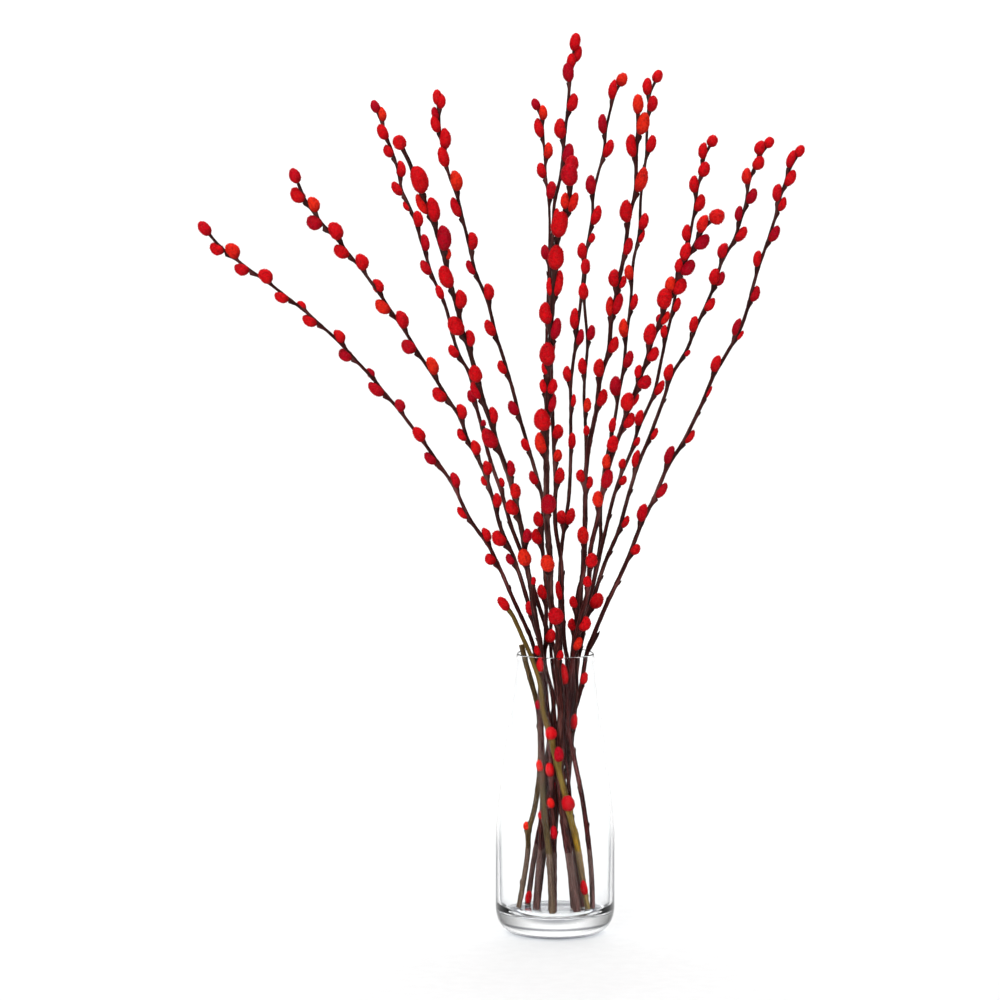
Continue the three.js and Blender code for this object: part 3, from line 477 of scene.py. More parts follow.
def ease_apart(stems, lines, catkins):
    """Eases the stems apart in depth where they or their catkins would touch, as the model does."""
    heights = np.arange(1, BUNCH_HEIGHT // EASE_LEVEL + 1) * EASE_LEVEL
    index_of = []
    for points in lines:
        index = np.floor((heights - points[1][2]) / EASE_LEVEL + 0.5).astype(int) + 1
        good = (index >= 0) & (index < len(points)) & (heights <= points[-1][2])
        good &= heights >= points[0][2] - EASE_LEVEL / 2
        index_of.append(np.where(good, index, -1))
    index_of = np.array(index_of)
    firm = np.array([bool(stem.get("firm")) for stem in stems])
    wall = np.array([inside_radius(min(h, VASE_HEIGHT)) for h in heights])
    kernel = EASE_SPREAD + 1.0 - np.abs(np.arange(-EASE_SPREAD, EASE_SPREAD + 1))
    weights = [np.convolve(np.ones(len(points)), kernel, "same") for points in lines]
    for _ in range(EASE_ROUNDS):
        slices = []
        for s, points in enumerate(lines):
            level = np.nonzero(index_of[s] >= 0)[0]
            spot = points[index_of[s][level]]
            radius = SLICE_STEM * radius_at(stems[s], points, heights[level])
            slices.append((np.full(len(level), s), level, spot[:, 0], spot[:, 1], radius))
            base, tip, _, _ = catkins[s].place(stems[s], points)
            share = (heights[None, :] - base[:, 2:3]) / (tip[:, 2:3] - base[:, 2:3])
            inside = (share >= SLICE_RANGE[0]) & (share <= SLICE_RANGE[1]) & (index_of[s][None, :] >= 0)
            which, level = np.nonzero(inside)
            part = share[which, level]
            past = (part < 0) | (part > 1)
            spot = base[which] + (tip[which] - base[which]) * part[:, None]
            radius = catkins[s].width[which] * np.where(past, SLICE_CATKIN_END, SLICE_CATKIN)
            slices.append((np.full(len(level), s), level, spot[:, 0], spot[:, 1], radius))
        owner, level, x, y, r = (np.concatenate(part) for part in zip(*slices))
        order = np.argsort(level, kind="stable")
        owner, level, x, y, r = (part[order] for part in (owner, level, x, y, r))
        starts = np.searchsorted(level, np.arange(len(heights)))
        ends = np.append(starts[1:], len(level))
        most = int((ends - starts).max())
        slot = starts[:, None] + np.arange(most)[None, :]
        real = slot < ends[:, None]
        slot = np.where(real, slot, 0)
        gx, gy, gr, go = x[slot], y[slot], r[slot], np.where(real, owner[slot], -1)
        reach = gr[:, :, None] + gr[:, None, :] + EASE_GAP
        dx = gx[:, :, None] - gx[:, None, :]
        dy = gy[:, :, None] - gy[:, None, :]
        pair = (go[:, :, None] != go[:, None, :]) & real[:, :, None] & real[:, None, :]
        wanted = np.sqrt(np.maximum(0, reach ** 2 - dx ** 2))
        touching = pair & (np.abs(dx) < reach) & (np.abs(dy) < wanted)
        first = go[:, :, None] < go[:, None, :]
        side_x, side_y = (
            np.where(first, np.where(d < 0, -1, 1), np.where(d > 0, 1, -1)) for d in (dx, dy)
        )
        push_y = np.where(touching, side_y * (wanted - np.abs(dy)) / 2, 0).sum(axis=2)
        slack = (reach - np.hypot(dx, dy)) / 2
        low = (heights <= VASE_HEIGHT)[:, None, None]
        push_x = np.where(touching & low, side_x * slack, 0).sum(axis=2)
        push_x = np.where((go >= 0) & ~firm[go], push_x, 0)
        room = np.maximum(1, (wall[:, None] - gr - EASE_GAP) ** 2 - gx ** 2)
        over = np.abs(gy) - np.sqrt(room)
        near = (heights < VASE_HEIGHT + EASE_LEVEL)[:, None]
        push_y -= np.where(near & (over > 0), np.sign(gy) * over, 0)
        for s, points in enumerate(lines):
            push = np.zeros((len(points), 2))
            mine = (go == s) & real
            rows = np.nonzero(mine)[0]
            np.add.at(push[:, 0], index_of[s][rows], push_x[mine])
            np.add.at(push[:, 1], index_of[s][rows], push_y[mine])
            move = np.stack([np.convolve(push[:, k], kernel, "same") for k in (0, 1)], axis=1)
            move *= (EASE_SHARE / weights[s])[:, None]
            size = np.linalg.norm(move, axis=1, keepdims=True)
            points[:, :2] += move * np.minimum(1, EASE_MOST / np.maximum(size, 1e-9))


# Meshes

def shown(name, data):
    """A new object in the scene that holds a mesh, a lamp or a camera."""
    thing = bpy.data.objects.new(name, data)
    bpy.context.scene.collection.objects.link(thing)
    return thing


class Soup:
    """Collects vertices, faces and per-vertex values of one piece."""

    def __init__(self, *names):
        self.points = []
        self.faces = {4: [], 3: []}
        self.parts = {4: [], 3: []}
        self.values = {name: [] for name in names}
        self.count = 0

    def add(self, points, quads=(), tris=(), part=0, **values):
        self.points.append(points)
        for corners, faces in ((4, quads), (3, tris)):
            faces = np.asarray(faces, int).reshape(-1, corners) + self.count
            self.faces[corners].append(faces)
            self.parts[corners].append(np.full(len(faces), part))
        for name, value in values.items():
            self.values[name].append(np.broadcast_to(value, (len(points), 3)))
        self.count += len(points)

    def build(self, name, materials):
        points = np.concatenate(self.points) * MM
        quads, tris = (np.concatenate(self.faces[corners]) for corners in (4, 3))
        mesh = bpy.data.meshes.new(name)
        mesh.vertices.add(len(points))
        mesh.vertices.foreach_set("co", points.astype(np.float32).ravel())
        corners = np.concatenate([quads.ravel(), tris.ravel()])
        mesh.loops.add(len(corners))
        mesh.loops.foreach_set("vertex_index", corners.astype(np.int32))
        starts = np.concatenate([np.arange(len(quads)) * 4, len(quads) * 4 + np.arange(len(tris)) * 3])
        mesh.polygons.add(len(starts))
        mesh.polygons.foreach_set("loop_start", starts.astype(np.int32))
        part = np.concatenate(self.parts[4] + self.parts[3])
        mesh.polygons.foreach_set("material_index", part.astype(np.int32))
        mesh.polygons.foreach_set("use_smooth", np.ones(len(starts), bool))
        mesh.update(calc_edges=True)
        for key, value in self.values.items():
            layer = mesh.attributes.new(key, "FLOAT_VECTOR", "POINT")
            layer.data.foreach_set("vector", np.concatenate(value).astype(np.float32).ravel())
        for material in materials:
            mesh.materials.append(material)
        return shown(name, mesh)


def ring_quads(rings, sides):
    """Faces of a tube of rings, each ring one row of vertices, pointing outwards."""
    ring, side = np.meshgrid(np.arange(rings - 1), np.arange(sides), indexing="ij")
    a = ring * sides + side
    b = ring * sides + (side + 1) % sides
    return np.stack([a, b, b + sides, a + sides], axis=-1).reshape(-1, 4)


def fan_tris(centre, first, sides, flip):
    """Faces that close a ring of vertices with one in its middle."""
    a = first + np.arange(sides)
    b = first + (np.arange(sides) + 1) % sides
    middle = np.full(sides, centre)
    return np.stack([middle, b, a] if flip else [middle, a, b], axis=-1)


def closed_skin(rings, sides):
    """Faces of a tube of rings that two more vertices close, one at each end."""
    last = (rings - 1) * sides
    ends = [fan_tris(rings * sides, 0, sides, True), fan_tris(rings * sides + 1, last, sides, False)]
    return {"quads": ring_quads(rings, sides), "tris": np.vstack(ends)}


def turns(sides):
    return np.arange(sides) * 2 * math.pi / sides


def own_tone(number):
    """A tone from 0 to 1 that differs from stem to stem."""
    return number * TONE_STEP % 1


def smooth_noise(where, length, seed):
    """A smooth wave of about -1 to 1 with features of a given length."""
    dice = np.random.default_rng(seed)
    total = np.zeros_like(where)
    for _ in range(NOISE_WAVES):
        rate, phase = dice.uniform(*NOISE_RATES), dice.uniform(0, NOISE_PHASE)
        total += np.sin(where * rate * math.pi / length + phase)
    return 2 * total / NOISE_WAVES


def with_frame(line):
    """A line, its directions along and square to it, and its length so far."""
    along = unit(np.gradient(line, axis=0))
    right = sideways(along, np.zeros(len(line)))
    back = np.cross(along, right)
    reach = np.concatenate([[0], np.cumsum(np.linalg.norm(np.diff(line, axis=0), axis=1))])
    return line, along, right, back, reach


def make_bark(soup, stem, points, catkins, number):
    """A stem with swollen nodes, a cushion under each catkin, cut ends and small buds."""
    steps = math.ceil(np.linalg.norm(np.diff(points, axis=0), axis=1).sum() / BARK_RING_STEP)
    line, along, right, back, reach = with_frame(catmull_points(points, steps))
    bases, _, outs, _ = catkins.place(stem, points)
    nodes = []
    for crown, width, base, out in zip(catkins.crown, catkins.width, bases, outs):
        i = int(np.argmin(np.abs(line[:, 2] - base[2])))
        angle = math.atan2(out @ back[i], out @ right[i])
        nodes.append((reach[i], angle, width, crown))
    buds = [(reach[np.searchsorted(line[:, 2], height)], math.radians(SIDE_ANGLE[side]), length, width)
            for side, height, length, width in stem["buds"]]
    buds += bud_places(reach, nodes + buds, number)
    bend = np.zeros_like(line)
    for at, angle, _, crown in nodes:
        if crown:
            continue
        near = np.exp(-((reach - at) / NODE_BEND_LENGTH) ** 2)
        push = NODE_BEND * radius_at(stem, points, line[:, 2]) * near
        bend += push[:, None] * (math.cos(angle) * right + math.sin(angle) * back)
    line, along, right, back, reach = with_frame(line + bend)
    fuller = np.interp(line[:, 2], *FULLER)
    if stem.get("olive"):
        fuller *= np.interp(line[:, 2], *FULLER_OLIVE)
    lumps = 1 + LUMP * smooth_noise(reach, LUMP_LENGTH, number)
    radius = radius_at(stem, points, line[:, 2]) * fuller * lumps
    turn = turns(BARK_SIDES)
    cos, sin = np.cos(turn), np.sin(turn)
    size = np.repeat(radius[:, None], BARK_SIDES, axis=1)
    where = reach[:, None] + LUMP_REACH * cos
    size *= 1 + LUMP * smooth_noise(where, LUMP_LENGTH / 2, number + SIDE_SEED)
    for at, angle, width, crown in nodes:
        gap = reach - at
        size += (NODE_SWELL * radius * np.exp(-(gap / NODE_LENGTH) ** 2))[:, None]
        if crown:
            continue
        rise = np.clip(1 + gap / CUSHION_BELOW, 0, 1) ** CUSHION_RISE
        fall = np.clip(1 - gap / CUSHION_ABOVE, 0, 1)
        hump = CUSHION_SIZE * width * np.where(gap < 0, rise, fall)
        facing = np.maximum(0, np.cos(turn - angle)) ** CUSHION_ROUND
        size += hump[:, None] * facing
    for at, angle, length, width in buds:
        swell = BUD_SWELL * radius * np.exp(-((reach - at) / BUD_SWELL_LENGTH) ** 2)
        facing = BUD_SWELL_ROUND[0] + BUD_SWELL_ROUND[1] * np.cos(turn - angle)
        size += swell[:, None] * facing
    around = cos[:, None] * right[:, None, :] + sin[:, None] * back[:, None, :]
    skin = line[:, None, :] + size[:, :, None] * around
    grain = np.broadcast_arrays(cos * radius[:, None], sin * radius[:, None], reach[:, None])
    grain = np.stack(grain, axis=-1).reshape(-1, 3)
    share, top = stem.get("green", (0.0, 1))
    look = np.tile([own_tone(number), share, 0.0], (skin.size // 3, 1))
    look[:, 1] *= np.clip((top - skin[:, :, 2].ravel()) / GREEN_FADE, 0, 1)
    quads = ring_quads(len(line), BARK_SIDES)
    soup.add(skin.reshape(-1, 3), quads=quads, grain=grain, kind=look)
    cut_end(soup, skin[0], line[0], -along[0], True, number)
    cut_end(soup, skin[-1], line[-1], along[-1], False, number)
    for at, angle, length, width in buds:
        i = int(np.argmin(np.abs(reach - at)))
        out = math.cos(angle) * right[i] + math.sin(angle) * back[i]
        base = line[i] + out * radius[i] * BUD_BASE
        make_bud(soup, base, along[i], out, length, width, look[i * BARK_SIDES])


def cut_end(soup, ring, middle, outward, flip, number):
    """The flat cut across a stem, with a small chamfer."""
    centre = middle + outward * CUT_CHAMFER
    inner = middle + (ring - middle) * CUT_INSET + outward * CUT_CHAMFER
    points = np.vstack([ring, inner, centre])
    quads = ring_quads(2, BARK_SIDES)
    if flip:
        quads = quads[:, [0, 3, 2, 1]]
    tris = fan_tris(2 * BARK_SIDES, BARK_SIDES, BARK_SIDES, flip)
    kind = [own_tone(number), 1.0, 0.0]
    soup.add(points, quads=quads, tris=tris, part=1, grain=points - middle, kind=kind)


def bud_places(reach, nodes, number):
    """Where small buds sit: on the bare stretches, turning round the stem."""
    dice = np.random.default_rng(number + BUD_SEED)
    spots = []
    at = reach[0] + dice.uniform(*BUD_FIRST)
    angle = dice.uniform(0, 2 * math.pi)
    low, high = BUD_CLEAR_ABOVE
    while at < reach[-1] - BUD_LAST:
        if all(abs(at - node[0]) > BUD_CLEAR and not low < at - node[0] < high for node in nodes):
            spots.append((at, angle, dice.uniform(*BUD_LENGTH), dice.uniform(*BUD_WIDTH)))
        at += BUD_EVERY * dice.uniform(*BUD_STEPS)
        angle += BUD_TURN
    return spots


def make_bud(soup, base, along, out, length, width, kind):
    """A pointed bud that hugs the stem, or, where it is long, a blunt side twig."""
    t = np.linspace(0, 1, BUD_RINGS)
    twig = length > TWIG_LENGTH
    pointed = np.sin(math.pi * np.clip(t, BUD_START, 1) ** BUD_SHAPE[0]) ** BUD_SHAPE[1]
    profile = 0.5 * width * (1 - TWIG_TAPER * t ** 3 if twig else pointed)
    lean = unit(along + (TWIG_LEAN if twig else BUD_LEAN) * out)
    across = unit(np.cross(out, along))
    away = np.cross(lean, across)
    turn = turns(BUD_SIDES)
    centre = base + lean * (t[:-1, None] * length) - lean * BUD_SUNK * length
    ring = np.cos(turn)[:, None] * across + BUD_FLAT * np.sin(turn)[:, None] * away
    skin = (centre[:, None, :] + profile[:-1, None, None] * ring).reshape(-1, 3)
    ends = np.array([centre[0], base + lean * (1 - BUD_SUNK) * length])
    skin = np.vstack([skin, ends])
    soup.add(skin, grain=skin, kind=kind + [0, 0, 1], **closed_skin(BUD_RINGS - 1, BUD_SIDES))


def egg_profile(t, blunt):
    """Half width of a catkin along its length, from 0 at both ends to 1 at its widest."""
    low = np.clip((EGG_WIDEST - t) / EGG_WIDEST, 0, 1)
    high = np.clip((t - EGG_WIDEST) / (1 - EGG_WIDEST), 0, 1)
    return (1 - low ** 2) ** EGG_ENDS[0] * (1 - high ** (2 + blunt)) ** EGG_ENDS[1]


def make_catkin(soup, base, tip, out, along, length, width, stem_radius, number, crown):
    """A catkin: a soft egg that leans on its stem, with short fur that points to its tip."""
    dice = np.random.default_rng(number + CATKIN_SEED)
    tone = dice.uniform()
    wide = 0.5 * (width + CATKIN_WIDER) * dice.uniform(*CATKIN_VARIES)
    blunt = dice.uniform(0, CATKIN_BLUNT)
    axis = (tip - base) * (1 + CATKIN_LONGER / length)
    straight = unit(axis)
    bow = 0 if crown else EGG_BOW * width
    across = unit(np.cross(out, straight))
    away = np.cross(straight, across)

    def spine(t):
        return base + axis * t[:, None] + away * (bow * np.sin(math.pi * t))[:, None]

    def skin(t, turn, lift=0):
        radius = wide * egg_profile(t, blunt) + lift
        radius = radius + EGG_LUMP * np.sin(3 * turn + 9 * t + tone * 6) * egg_profile(t, blunt)
        around = np.cos(turn)[:, None] * across + EGG_FLAT * np.sin(turn)[:, None] * away
        return spine(t) + radius[:, None] * around, around

    t_rows = 0.5 - 0.5 * np.cos(np.linspace(0, math.pi, EGG_RINGS + 2))
    turn = turns(EGG_SIDES)
    t_grid = np.repeat(t_rows[1:-1], EGG_SIDES)
    points, _ = skin(t_grid, np.tile(turn, EGG_RINGS))
    ends = spine(np.array([0.0, 1.0]))
    rise = np.append(t_grid, [0, 1])
    fur = np.stack(np.broadcast_arrays(tone, rise, 0.0), axis=-1)
    soup.add(np.vstack([points, ends]), fur=fur, **closed_skin(EGG_RINGS, EGG_SIDES))

    amount = int(EGG_AREA * width * length * FUR_PER_MM2)
    t = dice.uniform(*FUR_RANGE, FUR_TRIES * amount)
    keep = dice.uniform(0, 1, len(t)) < egg_profile(t, blunt)
    t = t[keep][:amount]
    turn = dice.uniform(0, 2 * math.pi, len(t))
    root, around = skin(t, turn, -FUR_ROOT)
    upward = unit(skin(np.minimum(t + FUR_STEP, 1), turn)[0] - skin(t - FUR_STEP, turn)[0])
    normal = unit(around - np.sum(around * upward, axis=1, keepdims=True) * upward)
    clear = root - base - np.outer((root - base) @ along, along)
    seen = np.linalg.norm(clear + out * LEAN_BASE[0] * stem_radius, axis=1) > stem_radius
    t, root, upward, normal = t[seen], root[seen], upward[seen], normal[seen]
    wild = dice.normal(0, 1, (len(t), 3))
    lean = unit(FUR_LEAN[0] * normal + FUR_LEAN[1] * upward + FUR_LEAN[2] * wild)
    size = dice.uniform(*FUR_LENGTH, len(t)) * (width / FUR_FULL_WIDTH) ** 0.5
    size *= FUR_GROWTH[0] + FUR_GROWTH[1] * t
    side = unit(np.cross(lean, normal))
    over = np.cross(side, lean)
    thick = FUR_WIDTH * 0.5
    foot = [root + side * thick, root - side * thick, root + over * thick * FUR_RIDGE]
    spikes = np.stack([*foot, root + lean * size[:, None]], axis=1).reshape(-1, 3)
    faces = np.array([[0, 2, 1], [0, 1, 3], [1, 2, 3], [2, 0, 3]])
    tris = (4 * np.arange(len(t))[:, None, None] + faces).reshape(-1, 3)
    end = np.tile([0.0, 0.0, 0.0, 1.0], len(t))
    fur = np.stack(np.broadcast_arrays(tone, np.repeat(t, 4), end), axis=-1)
    soup.add(spikes, tris=tris, fur=fur)


def arc(centre, out, up, start, end):
    steps = max(2, round(abs(end - start) / ARC_STEP_DEGREES))
    angle = np.radians(np.linspace(start, end, steps + 1))
    return [(centre[0] + out * math.cos(a), centre[1] + up * math.sin(a)) for a in angle]


def make_vase(material):
    """The vase, turned from one closed outline."""
    rim = RIM_WALL / 2
    walls = np.arange(BELLY_TOP, VASE_HEIGHT - rim - 1, WALL_STEP)
    corner_top = BASE_THICKNESS + CORNER_UP
    lower = np.arange(BELLY_TOP - WALL_STEP, corner_top + 1, -WALL_STEP)
    profile = [(HOLLOW_RADIUS * part, HOLLOW_UP * quarter_round(part)) for part in HOLLOW_RINGS]
    profile += arc((FOOT_RADIUS, HEEL_UP), HEEL_OUT, HEEL_UP, -90, 0)
    profile += [(BELLY_RADIUS, h) for h in np.arange(HEEL_UP + WALL_STEP, BELLY_TOP - 1, WALL_STEP)]
    profile += [(outside_radius(h), h) for h in walls]
    profile += arc((RIM_RADIUS - rim, VASE_HEIGHT - rim), rim, rim, 0, 180)
    profile += [(inside_radius(h), h) for h in (*walls[::-1], *lower)]
    profile += arc((inside_radius(corner_top) - CORNER_OUT, corner_top), CORNER_OUT, CORNER_UP, 0, -90)
    radius, height = np.array(profile).T[:, :, None]
    turn = turns(VASE_SIDES)
    skin = np.broadcast_arrays(radius * np.cos(turn), radius * np.sin(turn), height)
    skin = np.stack(skin, axis=-1).reshape(-1, 3)
    ends = np.array([[0, 0, HOLLOW_UP], [0, 0, BASE_THICKNESS]])
    soup = Soup()
    soup.add(np.vstack([skin, ends]), **closed_skin(len(profile), VASE_SIDES))
    return soup.build("clear_vase", [material])


# Materials: heights, and distances from the axis, are in metres

NOISE_ROUGHNESS = 0.55


class Nodes:
    """A material and short ways to add nodes to it."""

    def __init__(self, name):
        self.material = bpy.data.materials.new(name)
        self.material.use_nodes = True
        self.tree = self.material.node_tree
        self.tree.nodes.clear()

    def add(self, kind, values=None, **settings):
        node = self.tree.nodes.new(kind)
        for key, value in settings.items():
            setattr(node, key, value)
        for key, value in (values or {}).items():
            socket = node.inputs[key]
            if isinstance(value, bpy.types.NodeSocket):
                self.tree.links.new(value, socket)
            else:
                socket.default_value = value
        return node

    def attribute(self, name):
        return self.add("ShaderNodeAttribute", attribute_name=name).outputs["Vector"]

    def position(self):
        return self.add("ShaderNodeNewGeometry").outputs["Position"]

    def split(self, vector):
        return self.add("ShaderNodeSeparateXYZ", {0: vector}).outputs

    def stretched(self, vector, by):
        return self.add("ShaderNodeVectorMath", {0: vector, 1: by}, operation="MULTIPLY").outputs[0]

    def length(self, vector):
        return self.add("ShaderNodeVectorMath", {0: vector}, operation="LENGTH").outputs["Value"]

    def math(self, operation, a, b):
        return self.add("ShaderNodeMath", {0: a, 1: b}, operation=operation).outputs[0]

    def times(self, a, b):
        return self.math("MULTIPLY", a, b)

    def bump(self, strength, distance, height):
        values = {"Strength": strength, "Distance": distance, "Height": height}
        return self.add("ShaderNodeBump", values).outputs[0]

    def spread(self, value, low, high, out_low=0.0, out_high=1.0):
        """Maps low..high to out_low..out_high, smoothly and clamped."""
        node = self.add("ShaderNodeMapRange", {
            "Value": value, "From Min": low, "From Max": high, "To Min": out_low, "To Max": out_high,
        }, interpolation_type="SMOOTHSTEP")
        return node.outputs[0]

    def mix(self, factor, a, b, blend="MIX"):
        a, b = ((*colour, 1) if isinstance(colour, tuple) else colour for colour in (a, b))
        settings = {"data_type": "RGBA", "blend_type": blend, "clamp_factor": True}
        return self.add("ShaderNodeMix", {0: factor, 6: a, 7: b}, **settings).outputs[2]

    def noise(self, vector, scale, detail, stretch=None):
        if stretch:
            vector = self.stretched(vector, stretch)
        node = self.add("ShaderNodeTexNoise", {
            "Vector": vector, "Scale": scale, "Detail": detail, "Roughness": NOISE_ROUGHNESS,
        })
        return node.outputs[0]

    def surface(self, colour, roughness, **more):
        """The main shader; the names of its other sockets come with _ for a space."""
        values = {"Base Color": colour, "Roughness": roughness}
        values.update({key.replace("_", " "): value for key, value in more.items()})
        return self.add("ShaderNodeBsdfPrincipled", values).outputs[0]

    def finish(self, shader):
        self.add("ShaderNodeOutputMaterial", {"Surface": shader})
        return self.material


def bark_material(name, deep, warm, streak, wet, dusk):
    """Smooth young bark: long fine streaks, pale pores, and a paler foot that stood in water.

    Dusk is the height where the bark starts to darken, where it stops, and by what share.
    """
    n = Nodes(name)
    grain = n.attribute("grain")
    tone, greenness, bud = n.split(n.attribute("kind"))
    height = n.split(n.position())[2]
    streaks = n.noise(grain, 1.0, 4.0, (1.1, 1.1, 0.045))
    blotch = n.noise(grain, 1.0, 2.0, (0.25, 0.25, 0.035))
    fine = n.noise(grain, 1.0, 3.0, (3.0, 3.0, 0.5))
    colour = n.mix(n.spread(streaks, 0.43, 0.66), deep, warm)
    colour = n.mix(n.times(n.spread(blotch, 0.45, 0.75), 0.8), colour, streak)
    green = n.mix(n.spread(streaks, 0.35, 0.65), (0.022, 0.013, 0.004), (0.12, 0.082, 0.030))
    colour = n.mix(greenness, colour, green)
    aloft = n.spread(height, dusk[0], dusk[1], 0.0, dusk[2])
    colour = n.mix(aloft, colour, deep)
    tint = n.mix(tone, (1.35, 0.80, 0.85), (0.75, 1.1, 0.85))
    colour = n.mix(0.6, colour, n.mix(1.0, colour, tint, "MULTIPLY"))
    spots = {"Vector": n.stretched(grain, (0.42, 0.42, 0.16)), "Scale": 1.0}
    cells = n.add("ShaderNodeTexVoronoi", spots).outputs["Distance"]
    pore = n.times(n.spread(cells, 0.17, 0.09), n.spread(fine, 0.42, 0.55))
    colour = n.mix(n.times(pore, 0.5), colour, (0.16, 0.10, 0.085))
    colour = n.mix(n.times(bud, 0.55), colour, (0.012, 0.004, 0.005))
    edge = n.math("ADD", n.times(height, 1000.0), n.times(streaks, 3.0))
    soaked = n.spread(edge, WET_HEIGHT + 2.2, WET_HEIGHT + 1.2)
    pale = n.mix(0.5, n.mix(n.spread(streaks, 0.3, 0.7), wet, (0.20, 0.145, 0.130)), colour)
    colour = n.mix(n.times(soaked, n.spread(height, 0.02, 0.075, 0.45, 0.9)), colour, pale)
    bump = n.bump(0.5, 0.00035, n.math("ADD", streaks, n.times(pore, 0.8)))
    rough = n.spread(fine, 0.3, 0.7, 0.4, 0.6)
    return n.finish(n.surface(colour, rough, Normal=bump, Specular_IOR_Level=0.08))


def cut_wood_material():
    """The cut across a stem: pale wood, a darker pith and a green rim under the bark."""
    n = Nodes("cut_wood")
    grain = n.attribute("grain")
    radius = n.length(grain)
    fibre = n.noise(grain, 1.0, 3.0, (2.2, 2.2, 2.2))
    colour = n.mix(n.spread(fibre, 0.3, 0.7), (0.50, 0.37, 0.21), (0.64, 0.50, 0.31))
    colour = n.mix(n.spread(radius, 0.6, 0.3), colour, (0.24, 0.15, 0.08))
    colour = n.mix(n.spread(radius, 2.0, 2.5), colour, (0.19, 0.17, 0.06))
    rough = n.spread(fibre, 0.3, 0.7, 0.6, 0.8)
    return n.finish(n.surface(colour, rough, Normal=n.bump(0.4, 0.0002, fibre)))


def catkin_material():
    """Silky red fur, darker in a random mottle through the pile; painted shade deepens it low down, and
    a painted sheen makes the ends of the hairs paler.
    """
    n = Nodes("catkin_fur")
    tone, along, hair = n.split(n.attribute("fur"))
    place = n.position()
    mottle = n.noise(place, 420.0, 3.0)
    patch = n.noise(place, 130.0, 2.0)
    vivid = (0.56, 0.0032, 0.007)
    crimson = (0.36, 0.0015, 0.012)
    orange = (0.70, 0.022, 0.007)
    dark = (0.17, 0.0006, 0.003)
    colour = n.mix(n.spread(tone, 0.84, 0.98), vivid, orange)
    colour = n.mix(n.spread(tone, 0.32, 0.05), colour, crimson)
    # Painted shade: each catkin darkens over its lower half towards where it meets the stem.
    low = n.times(n.spread(along, 0.5, 0.05), 0.75)
    colour = n.mix(low, colour, dark)
    colour = n.mix(n.spread(mottle, 0.42, 0.7, 0.0, 0.5), colour, dark)
    colour = n.mix(n.spread(patch, 0.5, 0.8, 0.0, 0.2), colour, orange)
    colour = n.mix(n.spread(along, 0.1, 0.0, 0.0, 0.8), colour, (0.05, 0.010, 0.008))
    # Painted sheen: the ends of the hairs are mixed towards pale pink.
    colour = n.mix(n.times(n.spread(hair, 0.35, 1.0), 0.4), colour, (0.80, 0.10, 0.11))
    return n.finish(n.surface(
        colour, n.spread(mottle, 0.3, 0.7, 0.62, 0.82), Normal=n.bump(0.35, 0.0003, mottle),
        Specular_IOR_Level=0.03, Sheen_Weight=0.12, Sheen_Roughness=0.25,
        Sheen_Tint=(1.0, 0.55, 0.5, 1.0),
    ))


def glass_material():
    """Clear glass that lets the lamps shine through, greyer with painted dark refraction where the wall
    and the base turn away and in a ring low on the base, and with a painted contact shadow on the
    rounded foot.
    """
    n = Nodes("clear_glass")
    spot = n.position()
    height = n.split(spot)[2]
    facing = n.add("ShaderNodeLayerWeight", {"Blend": 0.5}).outputs["Facing"]
    across = n.length(n.stretched(spot, (1.0, 1.0, 0.0)))
    # Painted dark refraction: the wall greys where it turns away from view, from just above the base up
    # to below the shoulder.
    wall = n.times(n.spread(facing, 0.62, 0.82), n.spread(height, 0.122, 0.080))
    wall = n.times(wall, n.spread(height, 0.014, 0.024))
    # Painted contact shadow: the outside of the rounded foot greys where it comes down to the floor.
    painted_heel_shadow = n.times(n.spread(height, 0.0064, 0.0026), n.spread(across, 0.0395, 0.0405))
    # Painted dark refraction: a ring low round the outside of the base, and the base's outside where it
    # turns away from view at its sides.
    painted_base_band = n.times(n.spread(height, 0.0100, 0.0116), n.spread(height, 0.0148, 0.0128, 0.0, 0.9))
    ends = n.times(n.spread(facing, 0.5, 0.8, 0.0, 0.8), n.spread(height, 0.0055, 0.0100))
    ends = n.times(ends, n.spread(height, 0.0200, 0.0150))
    painted_base_band = n.times(n.math("MAXIMUM", painted_base_band, ends), n.spread(across, 0.052, 0.054))
    painted_dark_edges = n.math("MAXIMUM", n.math("MAXIMUM", wall, painted_heel_shadow), painted_base_band)
    # The painted dark refraction and the painted contact shadow mix the glass towards dark blue-grey.
    colour = n.mix(painted_dark_edges, (0.985, 0.993, 0.997), (0.030, 0.032, 0.050))
    glass = n.surface(
        colour, 0.0, IOR=1.5, Transmission_Weight=1.0, Specular_IOR_Level=0.15,
        Specular_Tint=(0.06, 0.06, 0.06, 1), Normal=n.bump(0.05, 0.002, n.noise(spot, 9.0, 1.0)),
    )
    clear = n.add("ShaderNodeBsdfTransparent", {"Color": (0.95, 0.96, 0.965, 1)}).outputs[0]
    shadow = n.add("ShaderNodeLightPath").outputs["Is Shadow Ray"]
    return n.finish(n.add("ShaderNodeMixShader", {0: shadow, 1: glass, 2: clear}).outputs[0])


def floor_material():
    n = Nodes("pale_floor")
    speck = n.noise(n.position(), 60.0, 2.0)
    colour = n.mix(n.spread(speck, 0.3, 0.7), (0.71, 0.71, 0.71), (0.73, 0.73, 0.73))
    return n.finish(n.surface(colour, 0.6, Specular_IOR_Level=0.2))


# Stage

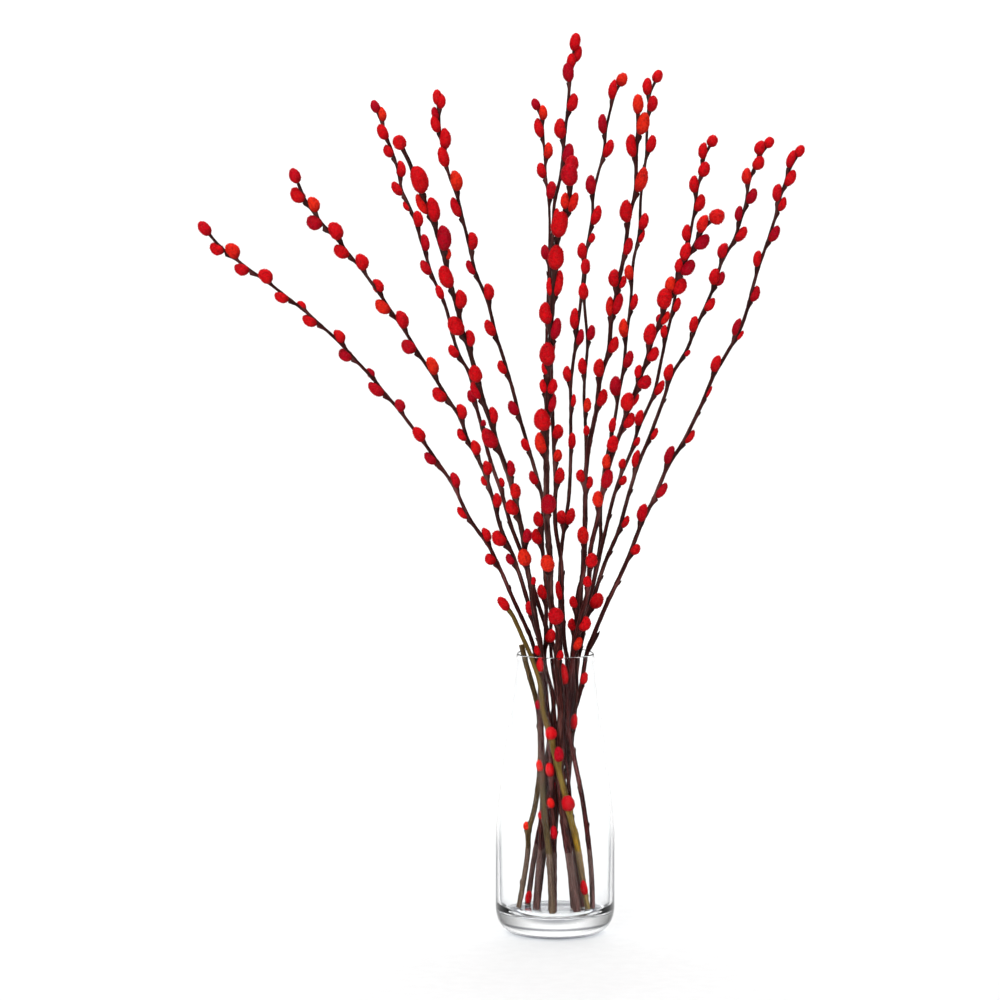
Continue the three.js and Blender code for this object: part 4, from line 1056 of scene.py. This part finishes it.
def make_sweep():
    """A pale floor that curves up into a backdrop."""
    line = [(SWEEP_FRONT, -FLOOR_DROP)]
    for angle in np.radians(np.arange(-90, 1, SWEEP_STEP_DEGREES)):
        along, up = SWEEP_CURVE * math.cos(angle), SWEEP_CURVE * math.sin(angle)
        line.append((SWEEP_BACK - SWEEP_CURVE + along, SWEEP_CURVE + up - FLOOR_DROP))
    line.append((SWEEP_BACK, SWEEP_TOP))
    points = [(x, y, z) for y, z in line for x in (-SWEEP_SIDE, SWEEP_SIDE)]
    faces = [(k, k + 1, k + 3, k + 2) for k in range(0, len(points) - 2, 2)]
    mesh = bpy.data.meshes.new("sweep")
    mesh.from_pydata(points, [], faces)
    mesh.polygons.foreach_set("use_smooth", [True] * len(faces))
    mesh.materials.append(floor_material())
    shown("sweep", mesh)


def make_world():
    world = bpy.data.worlds.new("studio")
    world.use_nodes = True
    bpy.context.scene.world = world
    background = world.node_tree.nodes["Background"]
    background.inputs["Color"].default_value = (1.0, 1.0, 1.0, 1)
    background.inputs["Strength"].default_value = WORLD_STRENGTH


def make_lamp(name, spot, aim, size, watts):
    lamp = bpy.data.lights.new(name, "AREA")
    lamp.shape = "RECTANGLE"
    lamp.size, lamp.size_y = size
    lamp.energy = watts
    holder = shown(name, lamp)
    holder.location = spot
    way = Vector(aim) - Vector(spot)
    holder.rotation_euler = way.to_track_quat("-Z", "Y").to_euler()


def make_camera():
    camera = bpy.data.cameras.new("camera")
    camera.sensor_width = SENSOR_MM
    camera.lens = LENS_MM
    camera.clip_end = CLIP_END
    holder = shown("camera", camera)
    holder.location = CAMERA_SPOT
    holder.rotation_euler = (math.radians(CAMERA_PITCH_DEGREES), 0, 0)
    bpy.context.scene.camera = holder


def place(piece, slot, node):
    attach(piece, "root")
    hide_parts(node)


make_sweep()
make_world()
make_lamp("key", (-2.2, -3.8, 1.7), (0, 0, 0.5), (3.2, 3.2), 150)
make_lamp("fill", (2.6, -3.2, 1.2), (0, 0, 0.45), (3.0, 3.0), 45)
make_lamp("above", (0, 0.4, 4.2), (0, 0.4, 0), (3.4, 3.4), 200)
make_lamp("behind", (0, 2.6, 3.6), (0, 5.2, 0.5), (3.2, 1.0), 145)
make_camera()
bpy.context.scene.view_settings.view_transform = "Standard"

place(make_vase(glass_material()), "clear_glass", "vase")

BARK = {
    "willow_bark": bark_material(
        "willow_bark", deep=(0.013, 0.0012, 0.0012), warm=(0.066, 0.0105, 0.009),
        streak=(0.14, 0.055, 0.052), wet=(0.10, 0.055, 0.044), dusk=(0.35, 0.65, 0.5),
    ),
    "olive_bark": bark_material(
        "olive_bark", deep=(0.085, 0.042, 0.010), warm=(0.36, 0.17, 0.016),
        streak=(0.36, 0.23, 0.07), wet=(0.20, 0.15, 0.10), dusk=(0.10, 0.19, 0.75),
    ),
}
CUT_WOOD = cut_wood_material()
FUR = catkin_material()

lines = [level_points(stem) for stem in STEMS]
catkins = [Catkins(stem) for stem in STEMS]
ease_apart(STEMS, lines, catkins)
for number, (stem, points, set_of) in enumerate(zip(STEMS, lines, catkins)):
    slot = "olive_bark" if stem.get("olive") else "willow_bark"
    bark = Soup("grain", "kind")
    make_bark(bark, stem, points, set_of, number)
    place(bark.build(stem["name"] + ".bark", [BARK[slot], CUT_WOOD]), slot, stem["name"])
    fur = Soup("fur")
    for k, (base, tip, out, along) in enumerate(zip(*set_of.place(stem, points))):
        size = (set_of.length[k], set_of.width[k])
        radius = radius_at(stem, points, base[2])
        make_catkin(fur, base, tip, out, along, *size, radius, 100 * number + k, set_of.crown[k])
    place(fur.build(stem["name"] + ".catkins", [FUR]), "red_catkins", stem["name"])
